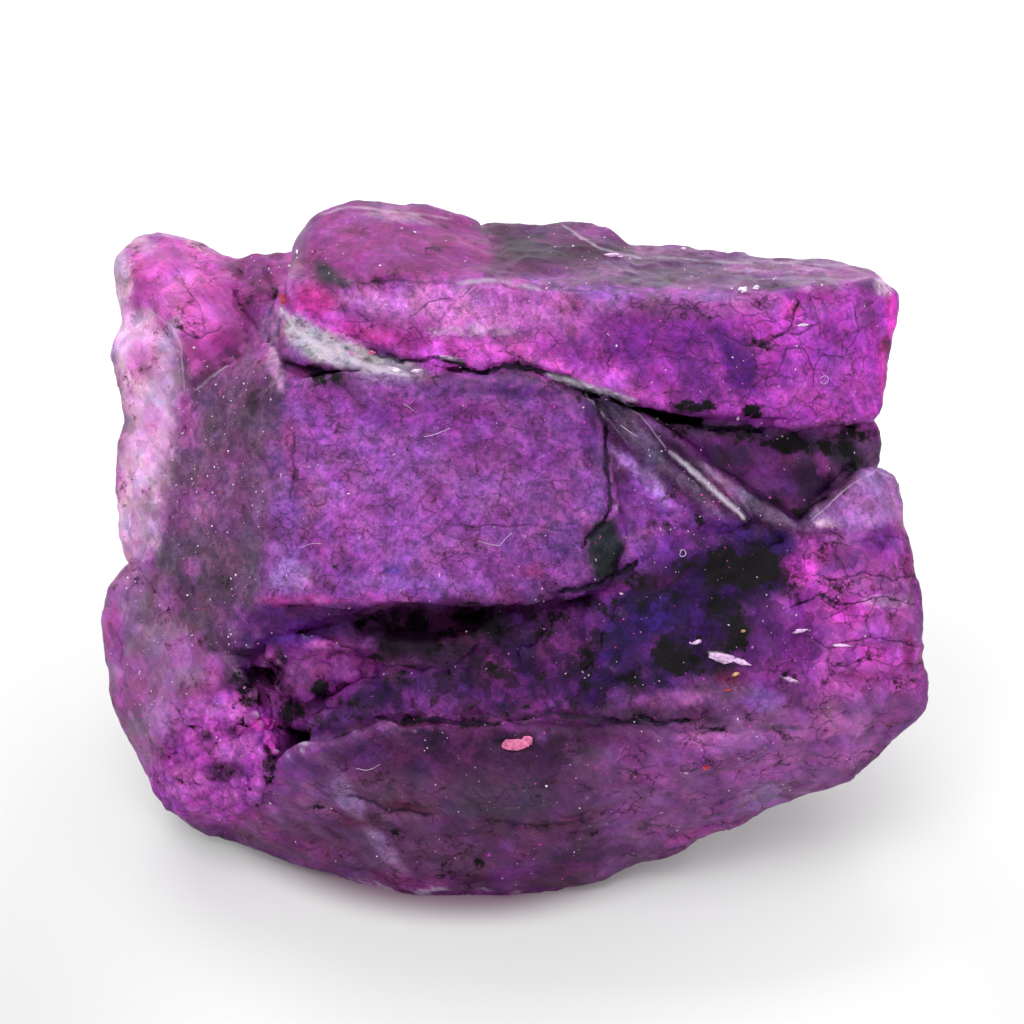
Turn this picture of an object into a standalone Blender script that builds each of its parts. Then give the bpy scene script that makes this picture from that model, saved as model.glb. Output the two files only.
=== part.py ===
"""A rough, broken lump of purple stone, as one solid.

The stone is built up from convex chunks, one for each bulge, ledge, blade and knob
that its fractures left. The chunks are joined, the pockets, cracks and shell-shaped
scoops between them are cut, and the underside is planed off where the stone rests.

Sizes are in millimetres and are turned into metres as each chunk is made. The
broken front leans back, so its chunks are set out in the front's own axes:
across to the right, up the lean, and out of the stone. The sides and the back are
set out in level axes from the same middle point: right, back and up.
"""

import math

import bmesh
import bpy
from mathutils import Matrix, Vector

MM = 0.001
FRONT_LEAN = math.radians(36.0)  # how far the front's plane leans back from upright
FRONT_MIDDLE_HEIGHT = 28.7  # the middle of the front above the resting face
BOX_MIDDLE = (-0.6, 7.54)  # the middle of the stone's box, right and back of the front's middle
SCOOP_SUBDIVISIONS = 4
STONE_COLOUR = (0.22, 0.03, 0.25, 1.0)
STONE_ROUGHNESS = 0.45

# Chunks of the leaning front: (across, up the lean, out).
FRONT_CHUNKS = {
    "front_body": [
        (-17.0, 9.5, -1.0), (7.0, 9.0, -1.0), (14.0, 3.0, -1.0), (20.0, -3.0, 0.0), (28.0, -4.0, -2.0),
        (28.0, -14.0, 0.0), (8.0, -17.0, 1.5), (-14.0, -17.0, -1.0), (-24.0, -16.0, -4.5),
        (-25.0, -5.0, -6.0), (-20.0, 8.0, -16.0), (10.0, 8.0, -16.0), (24.0, -4.0, -16.0),
        (24.0, -14.0, -14.0), (-20.0, -14.0, -16.0),
    ],
    "top_slab_left": [
        (-16.9, 17.2, -0.4), (-13.9, 17.5, 1.0), (-8.0, 17.7, 2.2), (-2.0, 17.5, 2.6), (0.4, 16.4, 2.4),
        (-17.2, 15.0, -1.0), (-12.8, 13.4, 0.3), (-8.6, 12.2, 1.4), (-3.2, 10.7, 2.2), (0.6, 11.4, 2.2),
        (-17.3, 21.2, -7.5), (-15.5, 23.2, -7.5), (-14.0, 24.1, -8.0), (-12.4, 24.5, -8.5),
        (-9.2, 24.1, -9.0), (-6.1, 23.5, -9.0), (-2.8, 23.1, -9.5), (-15.0, 12.0, -26.0),
        (-2.0, 12.0, -26.0),
    ],
    "top_slab_middle": [
        (-2.4, 17.6, 1.6), (3.7, 16.8, 2.1), (9.6, 16.2, 2.2), (-3.0, 10.8, 2.0), (1.4, 11.5, 2.2),
        (6.8, 9.4, 2.2), (10.6, 8.5, 2.3), (-2.6, 22.9, -11.5), (0.4, 22.9, -12.5), (4.9, 23.3, -12.0),
        (6.6, 23.1, -12.0), (8.2, 22.4, -11.0), (9.9, 21.4, -10.5), (-2.0, 12.0, -26.0),
        (10.0, 11.0, -26.0),
    ],
    "top_slab_right": [
        (3.7, 16.4, 1.8), (9.8, 16.2, 2.2), (17.9, 16.1, 2.2), (22.1, 17.0, 1.5), (27.8, 17.5, -1.0),
        (29.9, 16.6, -3.0), (29.8, 14.4, -3.0), (28.6, 11.0, -2.0), (28.5, 9.0, -2.0),
        (28.0, 7.2, -1.6), (8.5, 8.6, 2.2), (10.5, 8.4, 2.4), (17.4, 6.7, 2.2), (22.0, 6.2, 1.5),
        (8.7, 21.6, -12.0), (12.2, 20.9, -10.5), (18.2, 20.2, -10.0), (22.6, 20.2, -10.0),
        (27.2, 19.8, -9.0), (28.9, 19.1, -7.5), (12.0, 8.0, -24.0), (26.0, 8.0, -20.0),
    ],
    "ledge": [
        (-17.7, 15.2, -1.8), (-15.9, 15.0, -1.2), (-12.8, 13.8, -1.2), (-8.6, 12.6, -0.8),
        (-5.5, 11.3, 0.6), (-5.2, 10.2, 2.2), (-10.9, 10.9, 1.9), (-15.5, 11.6, 1.3),
        (-17.9, 12.2, -0.2), (-17.0, 13.0, -8.0), (-8.0, 11.0, -8.0),
    ],
    "centre_panel": [
        (-16.2, 10.1, 1.4), (-12.8, 10.7, 2.1), (-3.2, 10.0, 3.0), (2.1, 10.2, 2.5), (6.7, 8.4, 2.5),
        (7.6, 5.5, 2.5), (8.1, 0.9, 3.0), (8.4, -2.5, 3.0), (7.8, -5.0, 3.0), (6.7, -5.8, 3.5),
        (-0.9, -6.5, 5.0), (-8.4, -6.8, 5.5), (-13.8, -6.7, 4.5), (-18.5, -6.9, 2.5),
        (-19.1, -3.7, 2.0), (-17.8, 2.5, 1.5), (-4.7, 0.9, 5.0), (-12.3, 0.9, 4.0), (-16.0, 9.0, -12.0),
        (6.0, 8.0, -12.0), (7.0, -4.0, -12.0), (-17.0, -5.0, -12.0),
    ],
    "left_flank": [
        (-17.3, 10.4, 0.9), (-19.1, -6.8, 2.0), (-21.7, -10.6, 0.0), (-24.2, -9.9, -2.0),
        (-29.3, -4.7, -7.0), (-27.4, -2.6, -7.0), (-26.8, 3.3, -7.0), (-25.8, 8.7, -7.0),
        (-21.6, 11.1, -4.0), (-18.7, 13.0, -3.0), (-10.0, 8.5, 1.0), (-10.0, -6.0, 2.0),
        (-24.0, 8.0, -18.0), (-25.0, -4.0, -18.0), (-10.0, 8.0, -18.0), (-10.0, -6.0, -18.0),
        (-20.0, -12.0, -10.0),
    ],
    "upper_rim": [
        (-31.2, 15.5, -11.0), (-32.0, 13.0, -11.0), (-30.6, 6.9, -10.0), (-28.7, 6.5, -8.5),
        (-26.0, 8.8, -7.5), (-26.0, 13.6, -8.0), (-27.9, 16.0, -9.0), (-28.6, 12.8, -7.5),
        (-28.0, 14.0, -20.0), (-27.0, 6.0, -20.0),
    ],
    "lower_rim": [
        (-30.6, 6.9, -10.2), (-31.4, 2.6, -10.0), (-31.3, -0.6, -10.0), (-30.5, -3.8, -9.0),
        (-28.6, -4.4, -8.0), (-27.1, -1.4, -7.2), (-26.6, 4.9, -7.5), (-27.1, 7.3, -8.0),
        (-29.0, 1.7, -7.3), (-27.0, 5.0, -20.0), (-27.0, -4.0, -20.0),
    ],
    "knob": [
        (-32.3, 18.8, -13.0), (-31.8, 20.4, -13.0), (-30.6, 22.0, -14.0), (-28.5, 22.6, -14.0),
        (-25.4, 22.0, -14.0), (-23.6, 21.1, -13.0), (-21.8, 20.5, -12.0), (-32.0, 16.9, -12.0),
        (-31.2, 15.4, -11.2), (-28.1, 16.8, -8.0), (-22.2, 18.8, -9.0), (-21.4, 14.7, -7.0),
        (-25.8, 13.6, -6.8), (-25.4, 10.0, -7.4), (-19.1, 14.0, -7.0), (-30.0, 14.0, -24.0),
        (-20.0, 12.0, -26.0),
    ],
    "flank_corner": [
        (-27.2, 9.8, -8.0), (-27.3, 3.0, -7.5), (-25.4, 11.4, -7.3), (-22.2, 12.0, -5.7),
        (-19.6, 12.6, -4.3), (-21.0, 8.6, -3.2), (-25.2, 2.0, -5.7), (-25.0, 9.0, -16.0),
        (-20.0, 9.0, -14.0), (-26.0, 3.0, -16.0),
    ],
    "knob_foot": [
        (-26.4, 9.2, -8.5), (-24.5, 12.5, -8.0), (-21.0, 15.5, -8.0), (-18.0, 14.8, -6.0),
        (-17.8, 12.8, -4.2), (-21.2, 11.2, -5.2), (-26.0, 10.0, -18.0), (-18.0, 12.0, -18.0),
    ],
    "saddle": [
        (-22.2, 20.6, -12.2), (-20.1, 21.0, -12.6), (-17.1, 21.2, -12.6), (-21.5, 16.8, -8.0),
        (-17.4, 15.8, -5.0), (-18.5, 13.4, -4.6), (-20.0, 14.0, -24.0), (-14.0, 14.0, -24.0),
    ],
    "lower_left_lobe": [
        (-30.5, -4.4, -9.0), (-32.4, -6.4, -9.0), (-33.0, -9.0, -9.0), (-32.6, -12.1, -9.0),
        (-31.8, -16.1, -9.5), (-30.0, -19.1, -10.0), (-28.4, -21.9, -10.0), (-27.4, -23.4, -10.5),
        (-23.7, -25.8, -11.0), (-27.3, -3.8, -6.5), (-21.9, -10.0, -1.0), (-27.1, -10.8, -4.0),
        (-23.7, -14.5, -1.5), (-27.1, -17.8, -4.0), (-18.6, -19.1, 0.0), (-19.9, -22.3, -2.5),
        (-25.2, -22.5, -5.0), (-27.0, -8.0, -20.0), (-24.0, -18.0, -22.0), (-14.0, -10.0, -14.0),
        (-14.0, -20.0, -14.0),
    ],
    "crystal_nest": [
        (-18.6, -9.3, -0.4), (-14.5, -9.2, 0.4), (-10.5, -11.4, 0.2), (-10.2, -13.3, 1.0),
        (-13.5, -14.6, 1.8), (-17.8, -14.0, 1.2), (-19.0, -11.5, 0.5), (-14.0, -11.0, -10.0),
        (-18.0, -13.0, -9.0), (-11.0, -13.0, -9.0),
    ],
    "low_step": [
        (-15.4, -16.0, 1.2), (-12.5, -14.9, 1.6), (-9.4, -12.0, 1.1), (-4.4, -12.0, 0.9),
        (-1.0, -13.6, 1.8), (6.7, -14.6, 2.8), (14.3, -14.8, 3.2), (23.0, -14.0, 2.7),
        (23.6, -16.8, 1.9), (6.7, -17.6, 2.4), (-8.6, -16.8, 1.4), (-14.7, -17.4, 0.8),
        (-10.0, -13.0, -12.0), (0.0, -12.0, -14.0), (20.0, -14.0, -12.0), (-10.0, -18.0, -12.0),
    ],
    "middle_step": [
        (-0.4, -7.2, 0.2), (-4.4, -12.0, 0.9), (-1.6, -13.8, 1.8), (6.8, -14.4, 2.7), (6.8, -9.5, 2.2),
        (6.8, -6.6, 1.7), (-2.0, -8.0, -10.0), (-4.0, -12.0, -8.0), (6.0, -10.0, -10.0),
    ],
    "upper_step": [
        (6.0, -6.7, 1.9), (9.8, -3.7, 2.1), (14.4, -2.5, 1.9), (22.6, -2.8, 2.2), (19.8, -13.9, 3.1),
        (14.3, -14.6, 3.4), (6.3, -14.4, 2.9), (6.0, -9.8, 2.5), (8.0, -6.0, -14.0),
        (20.0, -4.0, -12.0), (20.0, -14.0, -12.0), (8.0, -14.0, -12.0),
    ],
    "lower_band": [
        (-18.2, -19.4, 0.5), (-16.2, -17.8, 2.0), (-8.5, -16.0, 3.0), (-0.9, -16.0, 3.5),
        (6.7, -16.4, 4.0), (14.3, -16.9, 4.0), (22.0, -17.0, 2.5), (29.5, -15.6, -0.5),
        (-8.6, -22.2, 0.0), (6.7, -22.1, 1.0), (-23.7, -25.8, -11.2), (-20.4, -26.8, -9.0),
        (-16.8, -27.8, -9.0), (-10.4, -29.8, -8.0), (-7.7, -30.5, -7.5), (-0.9, -30.6, -7.5),
        (3.8, -29.8, -7.5), (8.5, -28.2, -7.0), (14.0, -26.0, -6.0), (17.8, -24.3, -5.0),
        (22.5, -22.2, -4.0), (25.6, -20.9, -3.5), (27.8, -19.3, -3.0), (30.2, -16.9, -2.0),
        (31.8, -15.3, -2.0), (-16.0, -20.0, -20.0), (0.0, -22.0, -22.0), (14.0, -18.0, -18.0),
        (26.0, -12.0, -14.0),
    ],
    "right_block": [
        (22.0, -1.4, 2.0), (27.4, 3.2, 0.0), (28.8, 3.4, -2.0), (29.9, 2.8, -3.0), (31.2, 0.5, -3.5),
        (31.6, -1.6, -3.5), (31.5, -6.8, -3.0), (31.6, -13.8, -2.5), (31.8, -15.2, -2.2),
        (29.9, -16.2, -0.5), (28.3, -3.7, 0.5), (28.2, -13.6, 1.0), (19.4, -4.4, 2.4),
        (18.8, -13.8, 3.3), (24.0, -16.8, 1.6), (22.0, 0.0, -16.0), (29.0, 0.0, -14.0),
        (28.0, -12.0, -12.0), (20.0, -12.0, -14.0),
    ],
    "recess_floor": [
        (9.8, 6.5, 1.2), (14.5, 6.1, 0.5), (19.0, 6.1, -0.5), (23.0, 7.0, -1.9), (27.9, 7.8, -3.6),
        (28.9, 5.8, -3.8), (29.0, 4.6, -4.2), (28.8, 3.3, -4.2), (27.6, 3.2, -3.2), (24.2, 2.6, -1.6),
        (22.2, -0.6, -0.5), (14.5, 0.9, 0.6), (10.0, -2.0, 1.0), (21.0, -3.0, 0.5), (12.0, 6.0, -16.0),
        (28.0, 5.0, -16.0), (28.0, -4.0, -14.0), (12.0, -6.0, -14.0),
    ],
    "near_blade": [
        (3.7, 9.5, 2.5), (9.7, 5.5, 3.0), (13.5, 2.4, 3.2), (17.7, -0.8, 3.0), (7.9, 5.5, 1.4),
        (9.8, -0.6, 1.7), (14.4, -1.8, 1.6), (10.8, 6.6, 1.0), (18.6, 0.2, 1.0), (8.0, 3.0, -8.0),
        (16.0, -1.0, -8.0), (9.0, -2.0, -8.0),
    ],
    "far_blade": [
        (6.7, 8.9, 2.2), (10.9, 6.6, 2.2), (16.7, 2.4, 2.0), (22.0, -1.5, 2.2), (10.0, 5.0, 0.8),
        (17.0, 0.0, 1.0), (20.0, -2.6, 1.2), (11.5, 6.8, -0.6), (21.8, -0.6, -0.4), (12.0, 4.0, -8.0),
        (20.0, -2.0, -8.0),
    ],
    "blade_foot": [
        (7.7, 7.0, 1.3), (8.3, -5.2, 2.2), (6.0, -6.1, 2.2), (16.0, -2.5, 2.0), (13.7, 0.9, 1.8),
        (20.6, -2.9, 1.7), (8.0, 5.0, -8.0), (8.0, -5.0, -8.0), (15.0, -2.0, -8.0), (20.0, -3.0, -8.0),
    ],
}

# Pockets and cracks cut into the leaning front: (across, up the lean, out).
FRONT_POCKETS = {
    "under_panel": [
        (-13.6, -8.0, 7.0), (-8.6, -7.2, 7.0), (-0.3, -6.9, 7.0), (-1.7, -9.4, 7.0), (-4.4, -11.9, 7.0),
        (-8.6, -11.5, 7.0), (-12.9, -9.9, 7.0), (-12.4, -7.9, -2.4), (-8.6, -6.6, -4.0),
        (-1.6, -6.7, -3.4), (-2.6, -8.2, -2.4), (-5.0, -9.4, -1.6), (-8.6, -9.2, -2.2),
        (-11.6, -8.8, -1.8),
    ],
    "left_pocket": [
        (-22.0, -11.4, 3.0), (-17.8, -10.7, 3.0), (-16.9, -14.4, 3.0), (-21.0, -14.8, 3.0),
        (-20.6, -12.2, -6.0), (-18.4, -12.0, -6.0), (-18.2, -13.6, -6.0),
    ],
    "left_crack": [
        (-17.8, -13.6, 4.0), (-15.8, -13.9, 4.0), (-16.2, -17.6, 4.0), (-17.0, -14.4, -4.5),
        (-16.6, -16.4, -3.5),
    ],
    "nest_crack": [
        (-16.4, -14.0, 5.0), (-15.6, -15.6, 5.0), (-9.8, -11.4, 5.0), (-10.6, -12.8, 5.0),
        (-15.8, -14.8, -3.5), (-10.4, -12.0, -3.5),
    ],
    "slab_undercut": [
        (9.0, 8.3, 5.0), (17.4, 6.9, 5.0), (17.2, 6.3, 5.0), (9.8, 7.3, 5.0), (10.4, 7.5, 0.6),
        (23.0, 6.6, -1.6), (17.0, 6.5, -0.8), (26.0, 6.6, 1.0),
    ],
    "right_slot": [
        (22.2, -0.9, 4.0), (27.4, 3.4, 2.0), (24.2, 2.6, 2.0), (28.6, 4.4, 0.0), (22.6, -0.2, -3.0),
        (26.8, 3.8, -4.6),
    ],
}

# The chunk that all the others join: (right, back, up from the resting face).
CORE = [
    (-13.0, -10.0, -1.0), (4.0, -11.0, -1.0), (12.0, -2.0, -1.0), (11.0, 10.0, -1.0), (0.0, 16.0, -1.0),
    (-14.0, 14.0, -1.0), (-20.0, 4.0, -1.0), (-27.0, -1.0, 8.0), (-24.0, 14.0, 7.0), (-8.0, 24.0, 8.0),
    (10.0, 22.0, 8.0), (24.0, 10.0, 9.0), (26.0, -2.0, 12.0), (-30.0, 8.0, 20.0), (-27.0, 22.0, 20.0),
    (-10.0, 28.6, 20.0), (12.0, 27.0, 20.0), (27.0, 18.0, 20.0), (29.0, 4.0, 20.0), (-27.0, 19.0, 33.0),
    (-14.0, 27.0, 34.0), (8.0, 27.0, 35.0), (24.0, 21.0, 34.0),
]

# Chunks of the sides, the back and the underside: (right, back, up from the resting face).
BACK_CHUNKS = {
    "back_slab": [
        (-25.0, 19.5, 11.0), (-7.0, 26.6, 9.5), (0.5, 28.9, 18.0), (-3.0, 29.4, 25.0),
        (-12.0, 29.0, 29.5), (-24.0, 24.2, 27.5), (-28.6, 18.5, 20.0), (-20.0, 10.0, 14.0),
        (-4.0, 14.0, 14.0), (-4.0, 14.0, 26.0), (-22.0, 12.0, 25.0),
    ],
    "back_block": [
        (11.0, 25.0, 11.0), (21.5, 17.5, 12.0), (26.6, 18.8, 21.5), (24.6, 21.8, 30.0),
        (14.0, 28.2, 31.0), (9.0, 28.6, 21.0), (12.0, 12.0, 13.0), (23.0, 8.0, 12.0), (25.0, 8.0, 22.0),
        (23.0, 12.0, 30.0), (13.0, 14.0, 30.0),
    ],
    "side_wedge": [
        (-29.6, 5.5, 26.5), (-28.8, 16.0, 29.5), (-27.6, 21.0, 24.0), (-28.4, 12.0, 14.0),
        (-29.6, 4.0, 17.0), (-24.0, 4.0, 16.0), (-24.0, 18.0, 17.0), (-24.0, 16.0, 28.0),
    ],
    "right_foot": [
        (15.0, -7.0, 6.5), (22.0, -6.5, 10.0), (27.0, 1.0, 12.0), (25.4, 9.0, 10.5), (17.0, 8.0, 4.5),
        (10.0, 0.0, 8.0), (16.0, 2.0, 16.0),
    ],
}

# Flat-sided breaks cut out of the back: (right, back, up).
BACK_BREAKS = {
    "top_shelf": [
        (-18.5, 26.0, 28.4), (-8.0, 25.2, 29.4), (-4.0, 38.0, 26.5), (-21.0, 38.0, 25.5),
        (-23.0, 21.5, 46.0), (0.0, 21.5, 46.0), (3.0, 38.0, 46.0), (-27.0, 38.0, 46.0),
    ],
    "corner_break": [
        (20.5, 36.0, 8.0), (36.0, 17.5, 8.0), (36.0, 36.0, 8.0), (21.5, 36.0, 27.0), (36.0, 19.0, 25.0),
        (36.0, 36.0, 25.0),
    ],
}

# Shell-shaped scoops: (the ball's middle as right, back, up, and its radius).
SCOOPS = {
    "back_scoop": ((3.0, 49.5, 25.0), 25.5),
    "low_back_scoop": ((-14.0, 37.0, 1.0), 18.5),
    "right_scoop": ((46.5, 13.0, 20.5), 20.5),
    "left_scoop": ((-45.0, 19.0, 14.5), 19.4),
    "under_scoop": ((-33.0, 21.0, -3.0), 15.5),
    "right_top_scoop": ((21.0, 35.0, 49.0), 18.5),
}


def lay_out_front(points):
    """Points in the leaning front's axes, turned to level axes (right, back, up)."""
    lean = Matrix.Rotation(math.pi / 2 - FRONT_LEAN, 3, "X")
    middle = Vector((0.0, 0.0, FRONT_MIDDLE_HEIGHT))
    return [lean @ Vector(point) + middle for point in points]


def clear_scene():
    for old in list(bpy.data.objects):
        bpy.data.objects.remove(old)


def new_collection(name):
    made = bpy.data.collections.new(name)
    bpy.context.scene.collection.children.link(made)
    return made


def new_solid(name, shape, collection):
    """An object from the bmesh, with its faces pointing out; the bmesh is freed."""
    bmesh.ops.recalc_face_normals(shape, faces=shape.faces)
    mesh = bpy.data.meshes.new(name)
    shape.to_mesh(mesh)
    shape.free()
    solid = bpy.data.objects.new(name, mesh)
    collection.objects.link(solid)
    return solid


def convex_chunk(name, points, collection):
    """The convex solid around the points, which are in level axes and millimetres."""
    shape = bmesh.new()
    for point in points:
        shape.verts.new(Vector(point) * MM)
    hull = bmesh.ops.convex_hull(shape, input=shape.verts)
    spare = set(hull["geom_interior"] + hull["geom_unused"])
    inside = [vertex for vertex in shape.verts if vertex in spare]
    bmesh.ops.delete(shape, geom=inside, context="VERTS")
    return new_solid(name, shape, collection)


def ball(name, middle, radius, collection):
    """The ball that a scoop is cut with, in level axes and millimetres."""
    shape = bmesh.new()
    place = Matrix.Translation(Vector(middle) * MM)
    bmesh.ops.create_icosphere(shape, subdivisions=SCOOP_SUBDIVISIONS, radius=radius * MM, matrix=place)
    return new_solid(name, shape, collection)


def combine(stone, other, operation):
    """Joins the other solid to the stone, or cuts it away, and drops it."""
    boolean = stone.modifiers.new(other.name, "BOOLEAN")
    boolean.operation = operation
    boolean.solver = "EXACT"
    boolean.object = other
    bpy.context.view_layer.update()
    shown = stone.evaluated_get(bpy.context.evaluated_depsgraph_get())
    result = bpy.data.meshes.new_from_object(shown)
    stone.modifiers.clear()
    stone.data = result
    bpy.data.objects.remove(other)


def stone_material():
    material = bpy.data.materials.new("purple_stone")
    material.use_nodes = True
    surface = material.node_tree.nodes["Principled BSDF"]
    surface.inputs["Base Color"].default_value = STONE_COLOUR
    surface.inputs["Roughness"].default_value = STONE_ROUGHNESS
    return material


def connected_vertices(start):
    """Every vertex that edges join to the starting one, itself included."""
    found = {start}
    waiting = [start]
    while waiting:
        vertex = waiting.pop()
        near = {edge.other_vert(vertex) for edge in vertex.link_edges} - found
        found |= near
        waiting.extend(near)
    return found


def drop_crumbs(stone):
    """Deletes the loose bits that the cuts left beside the stone."""
    shape = bmesh.new()
    shape.from_mesh(stone.data)
    left = set(shape.verts)
    pieces = []
    while left:
        piece = connected_vertices(next(iter(left)))
        pieces.append(piece)
        left -= piece
    largest = max(pieces, key=len)
    crumbs = [vertex for vertex in shape.verts if vertex not in largest]
    bmesh.ops.delete(shape, geom=crumbs, context="VERTS")
    shape.to_mesh(stone.data)
    shape.free()


def rest_on_floor(stone):
    """Planes the underside off level, so that the stone stands on one flat face."""
    shape = bmesh.new()
    shape.from_mesh(stone.data)
    everything = shape.verts[:] + shape.edges[:] + shape.faces[:]
    bmesh.ops.bisect_plane(
        shape, geom=everything, plane_co=(0.0, 0.0, 0.0), plane_no=(0.0, 0.0, -1.0), clear_outer=True
    )
    rim = [edge for edge in shape.edges if edge.is_boundary]
    bmesh.ops.holes_fill(shape, edges=rim)
    bmesh.ops.triangulate(shape, faces=shape.faces)
    bmesh.ops.recalc_face_normals(shape, faces=shape.faces)
    shape.to_mesh(stone.data)
    shape.free()


def build_stone(parts, chunks):
    """Joins every chunk, then cuts the pockets, the breaks and the scoops."""
    stone = convex_chunk("stone", CORE, parts)
    for name, points in BACK_CHUNKS.items():
        combine(stone, convex_chunk(name, points, chunks), "UNION")
    for name, points in FRONT_CHUNKS.items():
        combine(stone, convex_chunk(name, lay_out_front(points), chunks), "UNION")
    for name, points in FRONT_POCKETS.items():
        combine(stone, convex_chunk(name, lay_out_front(points), chunks), "DIFFERENCE")
    for name, points in BACK_BREAKS.items():
        combine(stone, convex_chunk(name, points, chunks), "DIFFERENCE")
    for name, (middle, radius) in SCOOPS.items():
        combine(stone, ball(name, middle, radius, chunks), "DIFFERENCE")
    return stone


def main():
    clear_scene()
    stone = build_stone(new_collection("rough_stone"), new_collection("chunks"))
    drop_crumbs(stone)
    rest_on_floor(stone)
    stone.location = (-BOX_MIDDLE[0] * MM, -BOX_MIDDLE[1] * MM, 0.0)
    stone.data.materials.clear()
    stone.data.materials.append(stone_material())


main()
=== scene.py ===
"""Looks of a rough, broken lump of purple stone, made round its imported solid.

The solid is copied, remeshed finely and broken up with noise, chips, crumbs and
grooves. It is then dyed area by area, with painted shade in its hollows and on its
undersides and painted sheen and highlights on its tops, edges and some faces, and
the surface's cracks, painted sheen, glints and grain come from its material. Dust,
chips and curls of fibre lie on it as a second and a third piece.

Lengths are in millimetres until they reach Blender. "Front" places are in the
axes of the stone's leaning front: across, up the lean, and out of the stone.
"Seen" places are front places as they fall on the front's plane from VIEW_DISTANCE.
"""

import math
import random

import bmesh
import bpy
import numpy as np
from mathutils import Matrix, Vector
from mathutils.bvhtree import BVHTree


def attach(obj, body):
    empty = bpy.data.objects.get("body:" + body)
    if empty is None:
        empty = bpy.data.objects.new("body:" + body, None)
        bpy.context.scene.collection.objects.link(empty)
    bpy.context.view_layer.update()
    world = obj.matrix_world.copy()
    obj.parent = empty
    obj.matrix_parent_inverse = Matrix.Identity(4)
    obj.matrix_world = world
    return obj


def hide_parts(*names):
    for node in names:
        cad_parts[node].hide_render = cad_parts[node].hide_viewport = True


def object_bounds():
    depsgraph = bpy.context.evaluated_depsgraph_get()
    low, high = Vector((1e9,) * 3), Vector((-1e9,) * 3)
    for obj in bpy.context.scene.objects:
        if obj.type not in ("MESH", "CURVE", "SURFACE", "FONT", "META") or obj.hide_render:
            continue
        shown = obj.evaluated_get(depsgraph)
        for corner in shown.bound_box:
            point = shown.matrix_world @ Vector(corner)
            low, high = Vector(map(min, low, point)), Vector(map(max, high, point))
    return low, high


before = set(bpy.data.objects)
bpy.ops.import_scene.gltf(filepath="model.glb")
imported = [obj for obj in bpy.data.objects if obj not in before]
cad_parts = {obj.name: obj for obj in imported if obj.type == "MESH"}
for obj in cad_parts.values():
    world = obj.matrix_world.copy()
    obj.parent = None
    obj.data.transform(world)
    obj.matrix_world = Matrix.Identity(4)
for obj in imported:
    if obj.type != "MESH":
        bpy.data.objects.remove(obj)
CAD_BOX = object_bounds()

MM = 0.001

# The leaning front, and the eye before it.
FRONT_LEAN = math.radians(36.0)
FRONT_MIDDLE = np.array([0.6, -7.54, 28.7])
VIEW_DISTANCE = 280.0
IMAGE_WIDTH = 1024
PIXELS_A_MILLIMETRE = 13.0
SENSOR_WIDTH = 36.0

# The mesh: how fine it is, how far it swells and may pass the solid's box, and its resting face.
WELD_GAP = 0.0001
REMESH_SIZE = 0.24
SWELLING = 0.21
BOX_SPARE = 0.9
BASE_HEIGHT = 0.25
BASE_FADE = 1.6
TRIANGLE_LIMIT = 190000
LINE_MARGIN = 0.5
SHARP_ANGLE = math.radians(38.0)

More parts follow.
